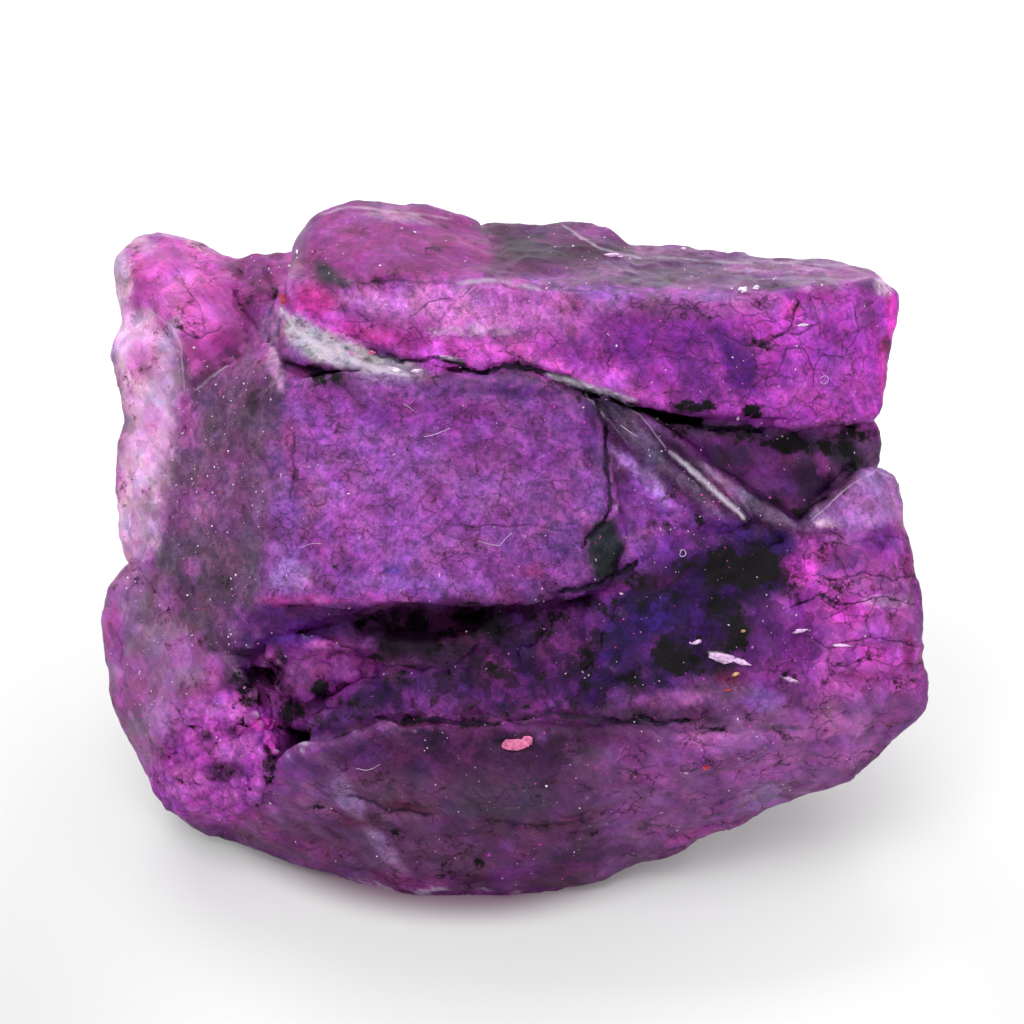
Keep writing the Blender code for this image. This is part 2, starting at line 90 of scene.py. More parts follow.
# The front's areas: name, paint, edge's softness, strength and outline of seen places.
FRONT_AREAS = [
    ("slab_left_top", "rose", 0.5, 1, [
        (-16.3, 21.3), (-14.8, 23.2), (-12.1, 24.2), (-5.5, 23.1), (-2.6, 22.6), (-1.9, 18), (-5.5, 17.5),
        (-12.5, 17.5), (-16.3, 17.1), (-17.8, 19.2),
    ]),
    # The greyed tops of the slab's middle and right are partly painted sheen on faces turned up to the light.
    ("slab_middle_top", "smoke", 0.5, 1, [
        (-2.6, 22.8), (3.7, 22.5), (6.8, 22.5), (10.2, 20.9), (9.8, 19.8), (6.8, 18.8), (2.2, 18),
        (-1.9, 18),
    ]),
    ("slab_right_top", "ash", 0.5, 1, [
        (9.8, 20.5), (17.5, 19.8), (26.8, 19.4), (28.9, 17.8), (28.3, 16.9), (19.1, 17.1), (12.9, 16.9),
        (6.8, 17.1), (2.2, 17.7), (6.8, 18.9),
    ]),
    # The brow's light pink is partly painted sheen where the rounded front turns up to the light.
    ("slab_brow", "blush", 0.5, 1, [
        (-16.3, 17.1), (-12.5, 17.5), (-1.9, 17.9), (6.8, 16.9), (8.3, 14), (3.7, 13.6), (-3.2, 13.5),
        (-8.6, 14.4), (-14, 15.4),
    ]),
    ("slab_left_face", "magenta", 0.5, 1, [
        (-17.5, 16.3), (-14, 15.4), (-8.6, 14.4), (-3.2, 13.5), (3.7, 13.6), (8.3, 14), (10.2, 8.8),
        (6.8, 9.4), (1.4, 11.4), (-3.2, 10.6), (-8.6, 12), (-14, 13.2), (-16.9, 14.6),
    ]),
    # The ledge's white is a painted reflection of the light on its upturned face.
    ("ledge", "reflection_white", 0.2, 0.92, [
        (-17.1, 14.7), (-14.9, 14), (-10.8, 12.4), (-7.5, 11.2), (-6.8, 10.3), (-10.2, 10.3), (-13.2, 11),
        (-15.8, 12.3), (-17.1, 13.4),
    ]),
    ("slab_right_face", "orchid", 0.6, 1, [
        (7.2, 16.9), (12.9, 16.9), (28.3, 17.1), (29.8, 16.3), (29.5, 11.7), (28.7, 6.7), (17.5, 6.6),
        (10.6, 8.3), (8.5, 12.5),
    ]),
    ("slab_end", "orchid", 0.5, 0.7, [
        (27.6, 18.8), (31, 17.5), (31, 6), (27.6, 6), (27, 9.5), (28, 13.5),
    ]),
    ("knob", "pink", 0.6, 1, [
        (-31.4, 20.2), (-29, 21.8), (-24, 21.1), (-20.9, 20.2), (-17.1, 20.5), (-16.9, 16.3),
        (-20.2, 12.8), (-23.6, 9.8), (-25.5, 12.5), (-27.8, 15.4), (-31.3, 15.4),
    ]),
    ("saddle", "plum", 0.6, 0.8, [
        (-21.2, 20.2), (-17.1, 20.5), (-17.5, 16.3), (-19.2, 14), (-20.9, 16.3),
    ]),
    # The rims' pale pink is the stone's pink with a painted glow of light through their thin edges.
    ("rims", "soft_pink", 0.5, 1, [
        (-31.1, 15.1), (-27.8, 15.4), (-25.7, 12.8), (-25.4, 9.2), (-26.2, 3.2), (-26.6, -0.6),
        (-27.8, -3.8), (-30, -4.2), (-30.8, 0.9), (-29.7, 7.1), (-31.2, 12.5),
    ]),
    # The flank's grey and grey-green are partly painted sheen over the stone's mauve.
    ("flank", "slate", 0.9, 1, [
        (-25.4, 8.9), (-20.9, 11.5), (-17.5, 12.8), (-17.3, 8.6), (-18.3, 0.9), (-19.1, -6.5),
        (-21.5, -10.8), (-26.3, -8.7), (-27.8, -3.8), (-26.6, 0.9), (-25.8, 6.3),
    ]),
    ("panel", "mauve", 0.8, 1, [
        (-17.3, 10.3), (-12.5, 10), (-5.5, 10.2), (1.4, 9.8), (6, 8.5), (7.1, 5.5), (7.7, 0.9),
        (7.2, -3.7), (5.1, -6.2), (-0.9, -6.8), (-8.6, -7.2), (-17.1, -7.1), (-19.1, -6.5), (-18.5, 0.9),
    ]),
    ("lobe", "heather", 0.6, 1, [
        (-30, -4.2), (-27.8, -3.8), (-26.3, -8.7), (-21.5, -10.8), (-22.8, -14.5), (-26.3, -21.4),
        (-30.8, -17.2), (-32.1, -11.4), (-32.3, -7.5),
    ]),
    ("under_lip", "dusk", 0.5, 1, [
        (-21.5, -7.7), (-19.1, -6.8), (-12.8, -7.2), (-12.8, -9.8), (-16.3, -10.6), (-21.3, -11),
    ]),
    ("middle", "violet", 0.6, 1, [
        (-16.3, -17.5), (-10.5, -12.2), (-4.4, -12), (-0.2, -6.8), (5.2, -6.2), (9.8, -3.7), (14.5, -2.2),
        (22.2, -1.5), (22.2, -6.8), (17.9, -11.8), (9.8, -14.1), (5.6, -15.7), (-4.8, -16.3), (-10.2, -16),
    ]),
    ("middle_blue", "indigo", 1, 0.8, [
        (6, -6.8), (9.8, -4.8), (14.5, -3.7), (15.4, -6.8), (12.2, -12.9), (6.8, -14.6),
    ]),
    ("band_left", "heather_dark", 1, 1, [
        (-27.8, -22.2), (-16.3, -17.9), (-10.2, -16), (-4.8, -16.3), (3.7, -19.1), (3.7, -29.8),
        (-8.6, -30.2), (-20.2, -26),
    ]),
    ("band_middle", "heather_dark", 1, 1, [
        (-4.8, -16.3), (5.6, -15.7), (13.7, -16.3), (14.5, -27.5), (3.7, -29.8), (-5.5, -29.8),
    ]),
    ("band_top", "night_plum", 0.8, 0.9, [
        (-10.5, -15.8), (5.6, -15.5), (9.8, -16.3), (13.7, -16.3), (9.8, -17.7), (3.7, -19.5),
        (-5.5, -20.2), (-14, -19.1),
    ]),
    ("band_right", "mauve_grey", 1, 1, [
        (6.8, -18.3), (13.7, -16.3), (22.2, -14.5), (31.8, -13.8), (31.8, -15.6), (25.2, -21.4),
        (13.7, -25.6), (6.8, -27.9),
    ]),
    ("right_block", "fuchsia", 0.6, 1, [
        (22.2, -1.7), (26.8, -1.4), (31.2, -0.6), (31.8, -6.8), (31.8, -13.8), (22.2, -14.6), (17.9, -12),
        (17.9, -7.5), (21.8, -6.2),
    ]),
    ("right_facet", "lilac", 0.4, 1, [
        (22.4, -1.1), (27.9, 3.5), (30.2, 2.6), (31.1, -0.6), (27.5, -1.4), (24.5, -1.7),
    ]),
    ("foot", "plum_violet", 0.5, 1, [
        (7.9, 5.5), (13.7, 0.9), (17.9, -0.9), (14.8, -2.8), (10.2, -5.1), (7.7, -5.5), (8, 0.9),
    ]),
    ("blade_slope", "glass_grey", 0.3, 1, [
        (3.7, 10.2), (7.5, 9), (11.4, 5.5), (18.2, -0.8), (13.7, 0.5), (9.8, 3.2), (6.8, 7.1),
    ]),
    ("blade_strip", "glass_plum", 0.3, 1, [
        (11, 5.8), (13.7, 4.6), (22.4, -1.2), (18.2, -0.8), (14.5, 2.1),
    ]),
    ("recess_floor", "night_plum", 0.5, 1, [
        (10.6, 5.8), (19.1, 6), (24.8, 4.4), (25.8, 2.5), (22.4, -1.1), (17.5, 1.8), (13.7, 4.6),
    ]),
    ("sugar", "hot_orchid", 0.6, 1, [
        (-26.3, -14.8), (-20.9, -13.5), (-17.7, -16.2), (-18, -21.4), (-21.7, -23.8), (-25.5, -23.3),
        (-27.8, -20.6),
    ]),
    ("nest", "orchid", 0.5, 1, [
        (-18.6, -11), (-14, -10), (-9.5, -9.4), (-10, -11.8), (-14, -14.6), (-16.3, -14.6), (-18.2, -13.7),
    ]),
]
# Dark places of the front, in the same order of values: black patches and green-black lenses of the stone,
# painted shadow in the slot under the slab and in the cavity under the ledge, and a darkened recess, pocket,
# crack foot and recess step.
FRONT_DARK_PLACES = [
    ("recess", "ink_and_shade", 0.35, 0.38, [
        (-12.8, -7.7), (-8.6, -7.1), (-0.5, -6.8), (-1.1, -8.9), (-4.2, -12), (-7.8, -11.7),
        (-10.2, -11.1), (-12.8, -10.2),
    ]),
    ("pocket", "ink_and_shade", 0.35, 0.3, [
        (-22, -11), (-17.5, -10.8), (-16.3, -14.5), (-13.5, -12.6), (-11.2, -11.7), (-10.8, -12.6),
        (-14.9, -15.7), (-16.9, -17.5), (-18.8, -15.4), (-21.2, -14.5),
    ]),
    ("crack_foot", "ink_and_shade", 0.3, 0.8, [
        (-19.2, -17.9), (-18.2, -17.7), (-18.2, -20.8), (-18.9, -21.2),
    ]),
    # Painted shadow under the slab's overhang.
    ("slot", "ink_and_shade", 0.35, 0.42, [
        (10.6, 7.7), (14.5, 6.9), (19.1, 6.5), (28.6, 6.3), (28.6, 3.8), (27.4, 3.2), (25.4, 1.5),
        (22.6, -1.2), (22, -0.2), (24.8, 2.9), (23.8, 4.5), (19.1, 5.5), (11.4, 6),
    ]),
    ("blotch_high", "ink_and_shade", 0.35, 0.95, [
        (14.9, -2.5), (17.5, -3.1), (20, -2.6), (20.5, -4.8), (17.7, -6.2), (15.4, -5.1),
    ]),
    ("blotch_low", "ink_and_shade", 0.35, 0.9, [
        (15.4, -6.2), (17.7, -6.8), (18, -10.6), (16.2, -10.8), (14.5, -8.5),
    ]),
    ("blotch_ring", "ink_and_shade", 0.4, 0.75, [
        (10.8, -9.8), (13.7, -9.1), (14.8, -10.6), (13.4, -12.9), (11.2, -12.6),
    ]),
    # Painted shade in the gap under the ledge.
    ("cavity", "ink_and_shade", 0.3, 0.9, [
        (-15.7, 11.2), (-12.8, 10.8), (-13.1, 9.5), (-15.4, 9.7),
    ]),
    ("green_lens", "green_ink", 0.2, 1, [
        (6.2, -0.6), (8, -0.3), (8.5, -2.8), (7.7, -4.8), (6.5, -5.2), (5.8, -3.1),
    ]),
    ("green_spot", "green_ink", 0.4, 0.85, [
        (-15.4, 19.2), (-12.9, 18.6), (-12.8, 17.2), (-14.6, 17.5),
    ]),
    ("recess_step", "ink_violet", 0.4, 0.8, [
        (-10.8, -9.4), (-5.5, -9.4), (-5.5, -11.4), (-10.2, -11.1),
    ]),
]

# Grooves of the front: name, half width, depth, darkness and run of seen places.
FRONT_GROOVES = [
    ("under_slab", 0.32, 0.5, 0.95, [
        (-5.8, 11.8), (-2.5, 10.8), (0.6, 11.3), (3.7, 10.3), (6.8, 9), (10.6, 7.7), (14.5, 6.7), (19.2, 6.5),
    ]),
    ("slab_foot_left", 0.22, 0.3, 0.6, [(-10.8, 12.5), (-8.6, 11.5), (-5.8, 11.8)]),
    ("panel_crack", 0.25, 0.35, 0.9, [
        (6.8, 8.2), (7.1, 6.3), (7.3, 3.2), (7.7, 0.9), (7.1, -0.6), (5.5, -2.5),
    ]),
    ("panel_foot", 0.28, 0.35, 0.85, [(3.7, -6.2), (5.6, -5.8), (8.5, -4.8), (10, -3.5)]),
    ("panel_low_crack", 0.12, 0.1, 0.4, [(-6.3, -0.6), (-3.2, -1.2), (0.6, -0.9), (4.5, -1.4)]),
    ("panel_side_crack", 0.14, 0.12, 0.55, [(-16.9, 6.3), (-16.6, 3.2), (-17.1, 0.9)]),
    ("band_line_left", 0.26, 0.3, 0.8, [(-10.5, -15.8), (-4.8, -16.2), (-0.9, -16.2)]),
    ("band_line_right", 0.24, 0.25, 0.75, [(0.6, -16), (3.7, -15.7), (9.8, -16.2), (13.7, -16.2)]),
    ("band_low_left", 0.2, 0.18, 0.6, [(-12.8, -21.8), (-10.2, -22.6), (-6.3, -23.1)]),
    ("band_low_middle", 0.16, 0.14, 0.5, [(-1.2, -23.8), (2.2, -24.2), (6, -23.7)]),
    ("knob_crack", 0.13, 0.1, 0.55, [(-25.9, 14.2), (-24, 13.5), (-22.1, 14.4)]),
    ("knob_fan", 0.1, 0.08, 0.35, [(-26.2, 19.2), (-24.3, 16.3), (-23.6, 13.8)]),
    ("knob_groove", 0.3, 0.35, 0.3, [(-23.6, 9.8), (-20.2, 12.8), (-20.5, 14.8), (-21.3, 16.9)]),
    ("saddle_groove", 0.26, 0.3, 0.3, [(-18.8, 19.2), (-18.2, 17.1), (-18.8, 14.6), (-18.2, 12.6)]),
    ("brow_crack_a", 0.09, 0.06, 0.5, [(-13.2, 15.9), (-12.8, 15.1)]),
    ("brow_crack_b", 0.09, 0.06, 0.5, [(-12.1, 15.5), (-10.8, 14.6)]),
    ("brow_crack_c", 0.1, 0.07, 0.55, [(-7.8, 14.8), (-6.3, 16.1), (-4.6, 16.3)]),
    ("brow_crack_d", 0.09, 0.06, 0.5, [(-4, 16.3), (-2.5, 17.4)]),
    ("cell_a", 0.13, 0.1, 0.6, [(15.6, 14), (17.2, 13), (19.1, 12.8), (21, 13.6), (22.2, 16.3)]),
    ("cell_b", 0.12, 0.08, 0.55, [(21, 13.6), (22.2, 13.5), (23.5, 14.8)]),
    ("cell_c", 0.13, 0.1, 0.6, [(20.2, 10.5), (21, 12.5), (22.5, 12.5), (23.3, 10.9), (22.9, 9.7)]),
    ("cell_d", 0.12, 0.08, 0.5, [(23.3, 10.9), (23.8, 12.1), (25.4, 12)]),
    ("cell_e", 0.12, 0.08, 0.5, [(25.4, 12), (26.6, 14), (26, 15.9)]),
    ("cell_f", 0.12, 0.08, 0.5, [(20.2, 10.5), (18.2, 9.7), (17.7, 8.3)]),
    ("facet_foot", 0.12, 0.14, 0.3, [(22.5, -1.2), (26, -2.2), (30.8, -1.8)]),
    ("block_crack_a", 0.1, 0.14, 0.6, [(22.5, -4.4), (24.5, -5.2), (26.8, -4.7), (29.2, -5.3), (31, -4.7)]),
    ("block_crack_b", 0.12, 0.16, 0.7, [(21.4, -7.2), (23.6, -6.5), (26, -7.1), (28.2, -6.5), (31.2, -7.2)]),
    ("block_crack_c", 0.11, 0.16, 0.6, [(22.5, -9.5), (24.8, -10.3), (27.4, -9.6), (31.4, -10.4)]),
    ("block_crack_d", 0.1, 0.12, 0.5, [(24.6, -11.9), (27, -11.3), (29.4, -12), (31.6, -11.5)]),
    ("block_crack_e", 0.1, 0.12, 0.5, [(24.8, -2.6), (25.6, -4.8), (24.6, -6.7)]),
    ("block_crack_f", 0.1, 0.12, 0.5, [(28, -6.7), (27.2, -8.2), (27.6, -9.6)]),
    ("crease_top", 0.18, 0.15, 0.45, [(-12.8, 17.5), (-7.1, 17.8), (-0.9, 17.5), (5.2, 17.1), (9.8, 17.2)]),
    ("pocket_tail", 0.24, 0.3, 0.85, [(-19.2, -17.7), (-18.2, -19.2), (-18.8, -21.1)]),
    ("lobe_line", 0.2, 0.12, 0.25, [(-27.8, -3.7), (-29.5, -6), (-30.2, -9.8), (-29.5, -13.7)]),
]
# Pale glints of the front: name, half width, strength and run of seen places.
FRONT_PALE_LINES = [
    ("blade_edge", 0.3, 0.85, [(12, 4.8), (13.7, 3.4), (15.7, 1.4), (18, -0.6)]),
    ("slope_streak", 0.08, 0.5, [(6.8, 9.4), (9.8, 7.5), (12, 4.8)]),
    ("sliver_high", 0.32, 0.95, [(2.6, 10.6), (5.2, 9.9), (9.6, 8.5)]),
    ("sliver_left", 0.2, 0.9, [(-6, 12), (-4.8, 11.8), (-3.5, 11.5)]),
    ("ledge_edge", 0.3, 0.9, [(-16.6, 14), (-14, 12.3), (-10.8, 11.1), (-7.7, 10.5)]),
    ("ledge_tip", 0.25, 0.8, [(-17.8, 15.8), (-16.6, 14)]),
    ("top_rim", 0.16, 0.35, [(-14.9, 22.8), (-12.8, 23.5), (-8.6, 23.1), (-4.6, 22.5)]),
    ("brow_glint", 0.25, 0.5, [(-4.4, 17.6), (-0.9, 17.8), (2.2, 17.1)]),
    ("hump_edge", 0.15, 0.45, [(3.7, 22.2), (6.8, 20.2), (10, 19.5)]),
    ("right_top_edge", 0.12, 0.35, [(10.6, 19.7), (16.8, 19.2), (22.2, 19.2), (26.8, 18.9)]),
    ("knob_rim", 0.2, 0.4, [(-30.6, 18.8), (-29.7, 20.6), (-27.8, 21.4), (-24.8, 20.9)]),
    ("rim_edge", 0.1, 0.45, [(-27.8, 15.5), (-26.2, 14.4), (-25.4, 12.8), (-25.2, 9.2)]),
    ("rim_low_edge", 0.12, 0.35, [(-26.3, 7.1), (-27.7, 3.2), (-27.8, -0.6), (-28.6, -3.7)]),
    ("flank_line", 0.12, 0.4, [(-24.5, 9.2), (-23.2, 10.3), (-21.8, 11.3)]),
    ("lobe_rim", 0.1, 0.35, [(-29.7, -3.8), (-31.9, -6.8), (-31.9, -9.8), (-31.5, -11.5)]),
    ("blotch_sliver", 0.22, 0.8, [(15.1, -10.8), (16.6, -11.2), (18, -11.7)]),
    ("block_sliver_c", 0.12, 0.5, [(20.6, -12.6), (22.2, -13.2)]),
    ("facet_edge", 0.08, 0.5, [(22.8, -0.9), (25.6, 1.7), (28, 3.2), (30.2, 2.3), (30.8, -0.5)]),
]

# Dabs of the front: paint, strength, seen place, reach across and up, and turn in degrees if any.
FRONT_DABS = {
    # Painted sheen along the glassy blade and its slope.
    "blade_sheen": [
        ("sheen_lilac", 0.5, 9.8, 5.5, 3.2, 0.9, -50), ("sheen_lilac", 0.45, 13.7, 2, 3.6, 0.5, -44),
        ("sheen_lilac", 0.55, 17.4, 1.5, 4.2, 0.45, -36), ("lavender_grey", 0.6, 7.9, 8.2, 1.6, 0.8, -45),
        ("sheen_lilac", 0.4, 20.6, -0.2, 1.6, 0.3, -36),
        ("pale_lavender", 0.35, 10.8, 3.2, 2.2, 0.35, -56), ("plum_violet", 0.5, 16, -1.4, 2, 0.5, -40),
    ],
    "ledge_marks": [
        ("lavender_grey", 0.6, -14.9, 13.4, 0.45, 0.3, -20),
        ("green_grey", 0.8, -12.5, 12.5, 0.45, 0.22, -25), ("grey_plum", 0.6, -11.2, 11.7, 0.5, 0.2, -20),
        ("green_grey", 0.7, -13.8, 12.3, 0.22, 0.16), ("green_grey", 0.7, -15.8, 12.8, 0.2, 0.14, 20),
        ("wine", 0.6, -14.6, 12.8, 0.2, 0.14, 30), ("plum", 0.6, -9.8, 11.4, 0.35, 0.14),
        ("bright_pink", 0.8, -12.3, 12.2, 0.4, 0.2, -20), ("grey_plum", 0.6, -13.2, 13.5, 0.3, 0.14, -30),
    ],
    "hollow_marks": [
        ("smoke", 1, -6.5, -9.3, 6.3, 2.6, 4), ("rose_mauve", 0.85, -18.4, -12.9, 2.2, 2.2),
        ("grey_plum", 0.85, 22.5, 4.9, 7.6, 1.4, -4), ("smoke_dark", 0.75, -4.9, -10.9, 2.8, 1.2),
        ("green_grey", 0.3, -10.9, -8.7, 1.6, 0.8), ("night_plum", 0.6, -18.6, -16.4, 0.9, 0.8),
        ("night_plum", 0.7, -21.7, -12.5, 1.4, 1.3), ("grey_plum", 0.7, 15.6, 6.3, 3.4, 0.8),
        ("mauve", 0.5, 20.4, 2, 2, 0.9),
    ],
    "pocket_marks": [
        ("smoke_dark", 0.9, -20.2, -12.9, 0.9, 0.7, 20), ("plum", 0.6, -19.2, -14, 0.6, 0.4),
        ("smoke", 0.5, -21.2, -12, 0.5, 0.4),
    ],
    "knob": [
        # The pale pink at the knob's thin left edge is partly a painted glow of light through it.
        ("pale_pink", 0.75, -30.3, 18.2, 1.1, 2.6), ("pale_pink", 0.5, -28.6, 20.5, 1.8, 0.7),
        ("bright_pink", 0.7, -25.2, 16.3, 2.6, 2.8), ("bright_pink", 0.5, -27.8, 19.2, 1.7, 1.4),
        # The night plum dab along the dip between the knob and the flank is painted shade there.
        ("deep_rose", 0.5, -22, 12.6, 2, 1.2, 35), ("night_plum", 0.65, -22.8, 11.2, 2.8, 0.7, 40),
        ("plum", 0.55, -20.9, 18.8, 2.2, 0.9), ("smoke_dark", 0.6, -20, 15.4, 0.7, 1.4, 20),
        ("ash", 0.4, -19.2, 13.6, 0.7, 1.5), ("pale_pink", 0.4, -23.6, 20.5, 1.7, 0.5, -20),
        ("deep_rose", 0.5, -25.1, 17.5, 2.3, 0.2, -38),
    ],
    "rims": [
        ("sheen_lilac", 0.7, -26.5, 13.4, 0.7, 1.5, -25), ("pink", 0.55, -28.4, 11.8, 1.3, 1.9),
        ("soft_pink", 0.5, -27.8, 9.2, 1.2, 1.4), ("wine", 0.85, -25.2, 8.3, 0.3, 0.6),
        ("soft_pink", 0.55, -27.1, 5.7, 0.8, 1.8, 10), ("soft_pink", 0.5, -29.1, 3.2, 0.5, 3.4),
        ("soft_pink", 0.45, -27.8, -1.4, 0.5, 2.3, 15), ("deep_rose", 0.4, -24.9, 6.7, 0.5, 2),
        ("soft_pink", 0.5, -29.7, 15.5, 0.7, 1.2), ("pink", 0.35, -27.6, 7.1, 1, 1.3),
    ],
    "flank": [
        # The grey-green dabs here are partly painted sheen.
        ("rosy_mauve", 0.6, -24.8, 6.7, 1, 2.6, 10), ("green_ink", 0.6, -20.9, 6.2, 0.8, 3.2, -22),
        ("green_grey", 0.6, -18.2, 9.5, 0.9, 2, -10), ("green_ink", 0.35, -22.9, 7.2, 0.5, 2.3, -20),
        ("mauve_grey", 0.5, -21.8, 2, 2.3, 3.1), ("rosy_mauve", 0.4, -23.4, 0.9, 1.2, 2.3),
        ("green_grey", 0.7, -25.5, -3.7, 2, 1.7), ("green_ink", 0.5, -23.5, -6.8, 2.3, 2.9),
        ("green_grey", 0.6, -22.3, -9.8, 2.2, 1.7), ("rosy_mauve", 0.5, -24.6, -4.2, 0.9, 0.8),
        ("rosy_mauve", 0.6, -26.5, -7.1, 1.1, 0.9), ("green_grey", 0.45, -20.3, -3.7, 0.8, 3.4),
        ("night_plum", 0.4, -19.5, 9, 1.1, 1.7),
    ],
    "lobe": [
        ("rose", 0.6, -30.6, -8.9, 0.8, 2.6), ("rose", 0.5, -29.4, -13.7, 1.4, 2.6, -12),
        ("green_grey", 0.5, -28.1, -7.7, 0.9, 1.4), ("green_grey", 0.5, -30.8, -14, 0.4, 1.7, -10),
        ("rosy_mauve", 0.7, -25.1, -10.5, 1.8, 1.5), ("rosy_mauve", 0.5, -27.7, -12.8, 1.7, 2.3),
        ("deep_magenta", 0.6, -24, -13.7, 2.5, 0.7, 10), ("magenta", 0.6, -22.9, -12, 0.9, 1.4),
        ("lilac", 0.4, -26.5, -16, 1.7, 2, -25), ("rosy_mauve", 0.5, -27.8, -17.9, 1.2, 1.7, -30),
        ("deep_magenta", 0.5, -26.5, -18.5, 0.6, 2, -20), ("smoke_dark", 0.55, -21.7, -10.4, 1.8, 1.2),
    ],
    "sugar": [
        ("bright_orchid", 0.85, -22.3, -15.3, 2, 0.9), ("bright_orchid", 0.8, -21.5, -18.3, 2, 0.9),
        ("bright_orchid", 0.7, -25.3, -20.9, 1.8, 1.4), ("night_plum", 0.8, -23.5, -17.2, 0.6, 0.5),
        ("night_plum", 0.65, -21.5, -16.8, 0.6, 0.4), ("smoke_dark", 0.8, -21.8, -19.9, 1.8, 0.9),
        ("hot_pink", 0.7, -19.2, -16.3, 1.1, 0.5), ("hot_pink", 0.6, -18.6, -18, 0.5, 0.8),
        ("bright_orchid", 0.8, -19.6, -20.9, 0.5, 1.1), ("magenta", 0.6, -26.9, -20, 1, 1.4, -30),
        ("bright_orchid", 0.6, -21.7, -21.8, 1.8, 0.5, 10), ("wine", 0.5, -20.5, -16.9, 0.5, 0.6),
        ("magenta", 0.5, -23.6, -22.5, 2.3, 0.6, -15),
    ],
    "nest": [
        ("bright_orchid", 0.8, -16, -12.1, 1.7, 1.2), ("bright_orchid", 0.6, -13.1, -12, 0.8, 1.2, 15),
        ("bright_orchid", 0.8, -14, -10.2, 2, 0.4), ("bright_orchid", 0.65, -10.9, -10.2, 1.2, 0.5),
        ("ink_and_shade", 0.85, -14.6, -13.5, 0.8, 0.7), ("hot_orchid", 0.6, -15.8, -13.8, 0.9, 0.5),
        ("blue_violet", 0.5, -17.5, -9.9, 2.3, 0.5), ("violet", 0.6, -15.5, -8.9, 2.3, 0.9),
    ],
    "slab_left_top": [
        ("rose", 0.5, -9.4, 20.6, 4.6, 1.4, -3), ("deep_rose", 0.55, -5.5, 20.8, 1, 0.6),
        ("blush", 0.5, -12.5, 22.3, 2.3, 0.7, 15), ("rose", 0.5, -2.6, 20.3, 2, 1.2),
        ("green_ink", 0.9, -14.2, 18.3, 1.2, 0.6, -25), ("green_ink", 0.7, -12.8, 17.6, 0.7, 0.4),
        ("ash", 0.6, -16.3, 19.8, 0.6, 2, -10), ("pale_pink", 0.35, -8.6, 22.6, 3.1, 0.3, -8),
        ("smoke_dark", 0.4, -0.7, 20.9, 0.8, 1.4), ("deep_rose", 0.3, -8.6, 18.8, 4.6, 0.6),
    ],
    # The greys on the slab's top are partly painted sheen.
    "slab_middle_top": [
        ("smoke_dark", 0.8, 2.2, 20.3, 2.8, 1.3), ("green_ink", 0.35, 0.6, 20.9, 1.2, 0.9),
        ("mauve_grey", 0.6, 6.8, 21.4, 2.6, 0.7, -8), ("smoke_dark", 0.5, 6, 19.8, 2.3, 0.5, 10),
        ("ash", 0.5, 4.8, 17.5, 3.1, 0.5),
    ],
    # The pale greys and lavenders on the slab's right top are partly painted sheen.
    "slab_right_top": [
        ("grey_plum", 0.75, 13.1, 18.9, 3.8, 0.9, -3), ("green_grey", 0.6, 10.6, 17.8, 3.5, 0.5),
        ("ash_pink", 0.7, 20.2, 18.8, 4.2, 0.5, -3), ("lavender", 0.5, 7.5, 16.8, 3.8, 0.6, -5),
        ("lavender", 0.45, 14.5, 16.5, 3.5, 0.4), ("night_plum", 0.8, 20.5, 17.3, 1.4, 0.4),
        ("rose", 0.5, 26, 18.3, 2, 0.8, -15), ("smoke_dark", 0.5, 18.7, 17.7, 0.9, 0.4),
    ],
    "slab_brow": [
        # Painted sheen along the brow.
        ("blush_light", 0.6, -6.3, 16.2, 4.9, 1.2), ("blush_light", 0.5, -0.9, 14.9, 4.6, 0.9, 3),
        ("pale_pink", 0.4, -3.2, 13.9, 3.8, 0.3), ("blush_light", 0.4, -11.3, 16.3, 1.7, 0.9),
        ("deep_rose", 0.4, -12.3, 15.4, 1.1, 0.8), ("mauve", 0.5, 4.8, 14.9, 2.8, 1.2),
        ("deep_rose", 0.3, -7.1, 14.6, 2.3, 0.3),
    ],
    "slab_left_face": [
        ("rose_red", 0.75, -15.4, 16.2, 1.7, 1.1, -25), ("red_sliver", 0.8, -17.5, 16.4, 0.7, 0.3, -30),
        ("deep_magenta", 0.75, -7.8, 13.2, 1.8, 0.7, -8), ("rose_red", 0.6, -11.7, 13.8, 2.3, 0.6, -22),
        ("magenta", 0.6, -2.5, 12.3, 4.6, 0.9), ("deep_magenta", 0.4, -10.9, 13.1, 1.7, 0.5, -20),
        ("purple", 0.5, 6, 11.3, 2.6, 1.4), ("deep_magenta", 0.55, 2.8, 12.3, 0.9, 0.7),
        ("magenta", 0.4, 3.3, 10.8, 2.3, 0.6), ("deep_rose", 0.35, -14, 16.1, 1.3, 0.8),
    ],
    "slab_right_face": [
        ("purple_dark", 0.8, 9.8, 13.2, 4.3, 2.6), ("grey_plum", 0.5, 11, 15.7, 2.6, 0.7),
        ("purple_dark", 0.4, 11.4, 9.8, 2.8, 1.4, -10), ("violet", 1, 17.6, 11.1, 2, 2.9, 15),
        ("ink_and_shade", 0.6, 19.4, 12.8, 1.1, 0.5, -20), ("blue_violet", 0.5, 14.9, 14, 1.2, 1.2),
        # The ink dabs along the slab's lower edge are painted shadow of its overhang.
        ("ink_and_shade", 0.6, 14.5, 8.2, 2, 0.5), ("ink_and_shade", 0.7, 18.5, 7.7, 1.4, 0.9, 10),
        ("ink_violet", 0.5, 16.2, 9.2, 1.1, 0.8), ("orchid_light", 0.4, 21.4, 14.9, 3.1, 1.5),
        ("orchid_light", 0.5, 26.4, 15.9, 1.7, 1.8), ("orchid_light", 0.35, 25.1, 10.9, 2, 2),
        ("orchid_light", 0.45, 21.4, 11.5, 1.1, 0.9), ("magenta", 0.5, 22.2, 9, 3.1, 1.1),
        # The two hot pink dabs at the slab's right edge are a painted glow of light through its thin edge.
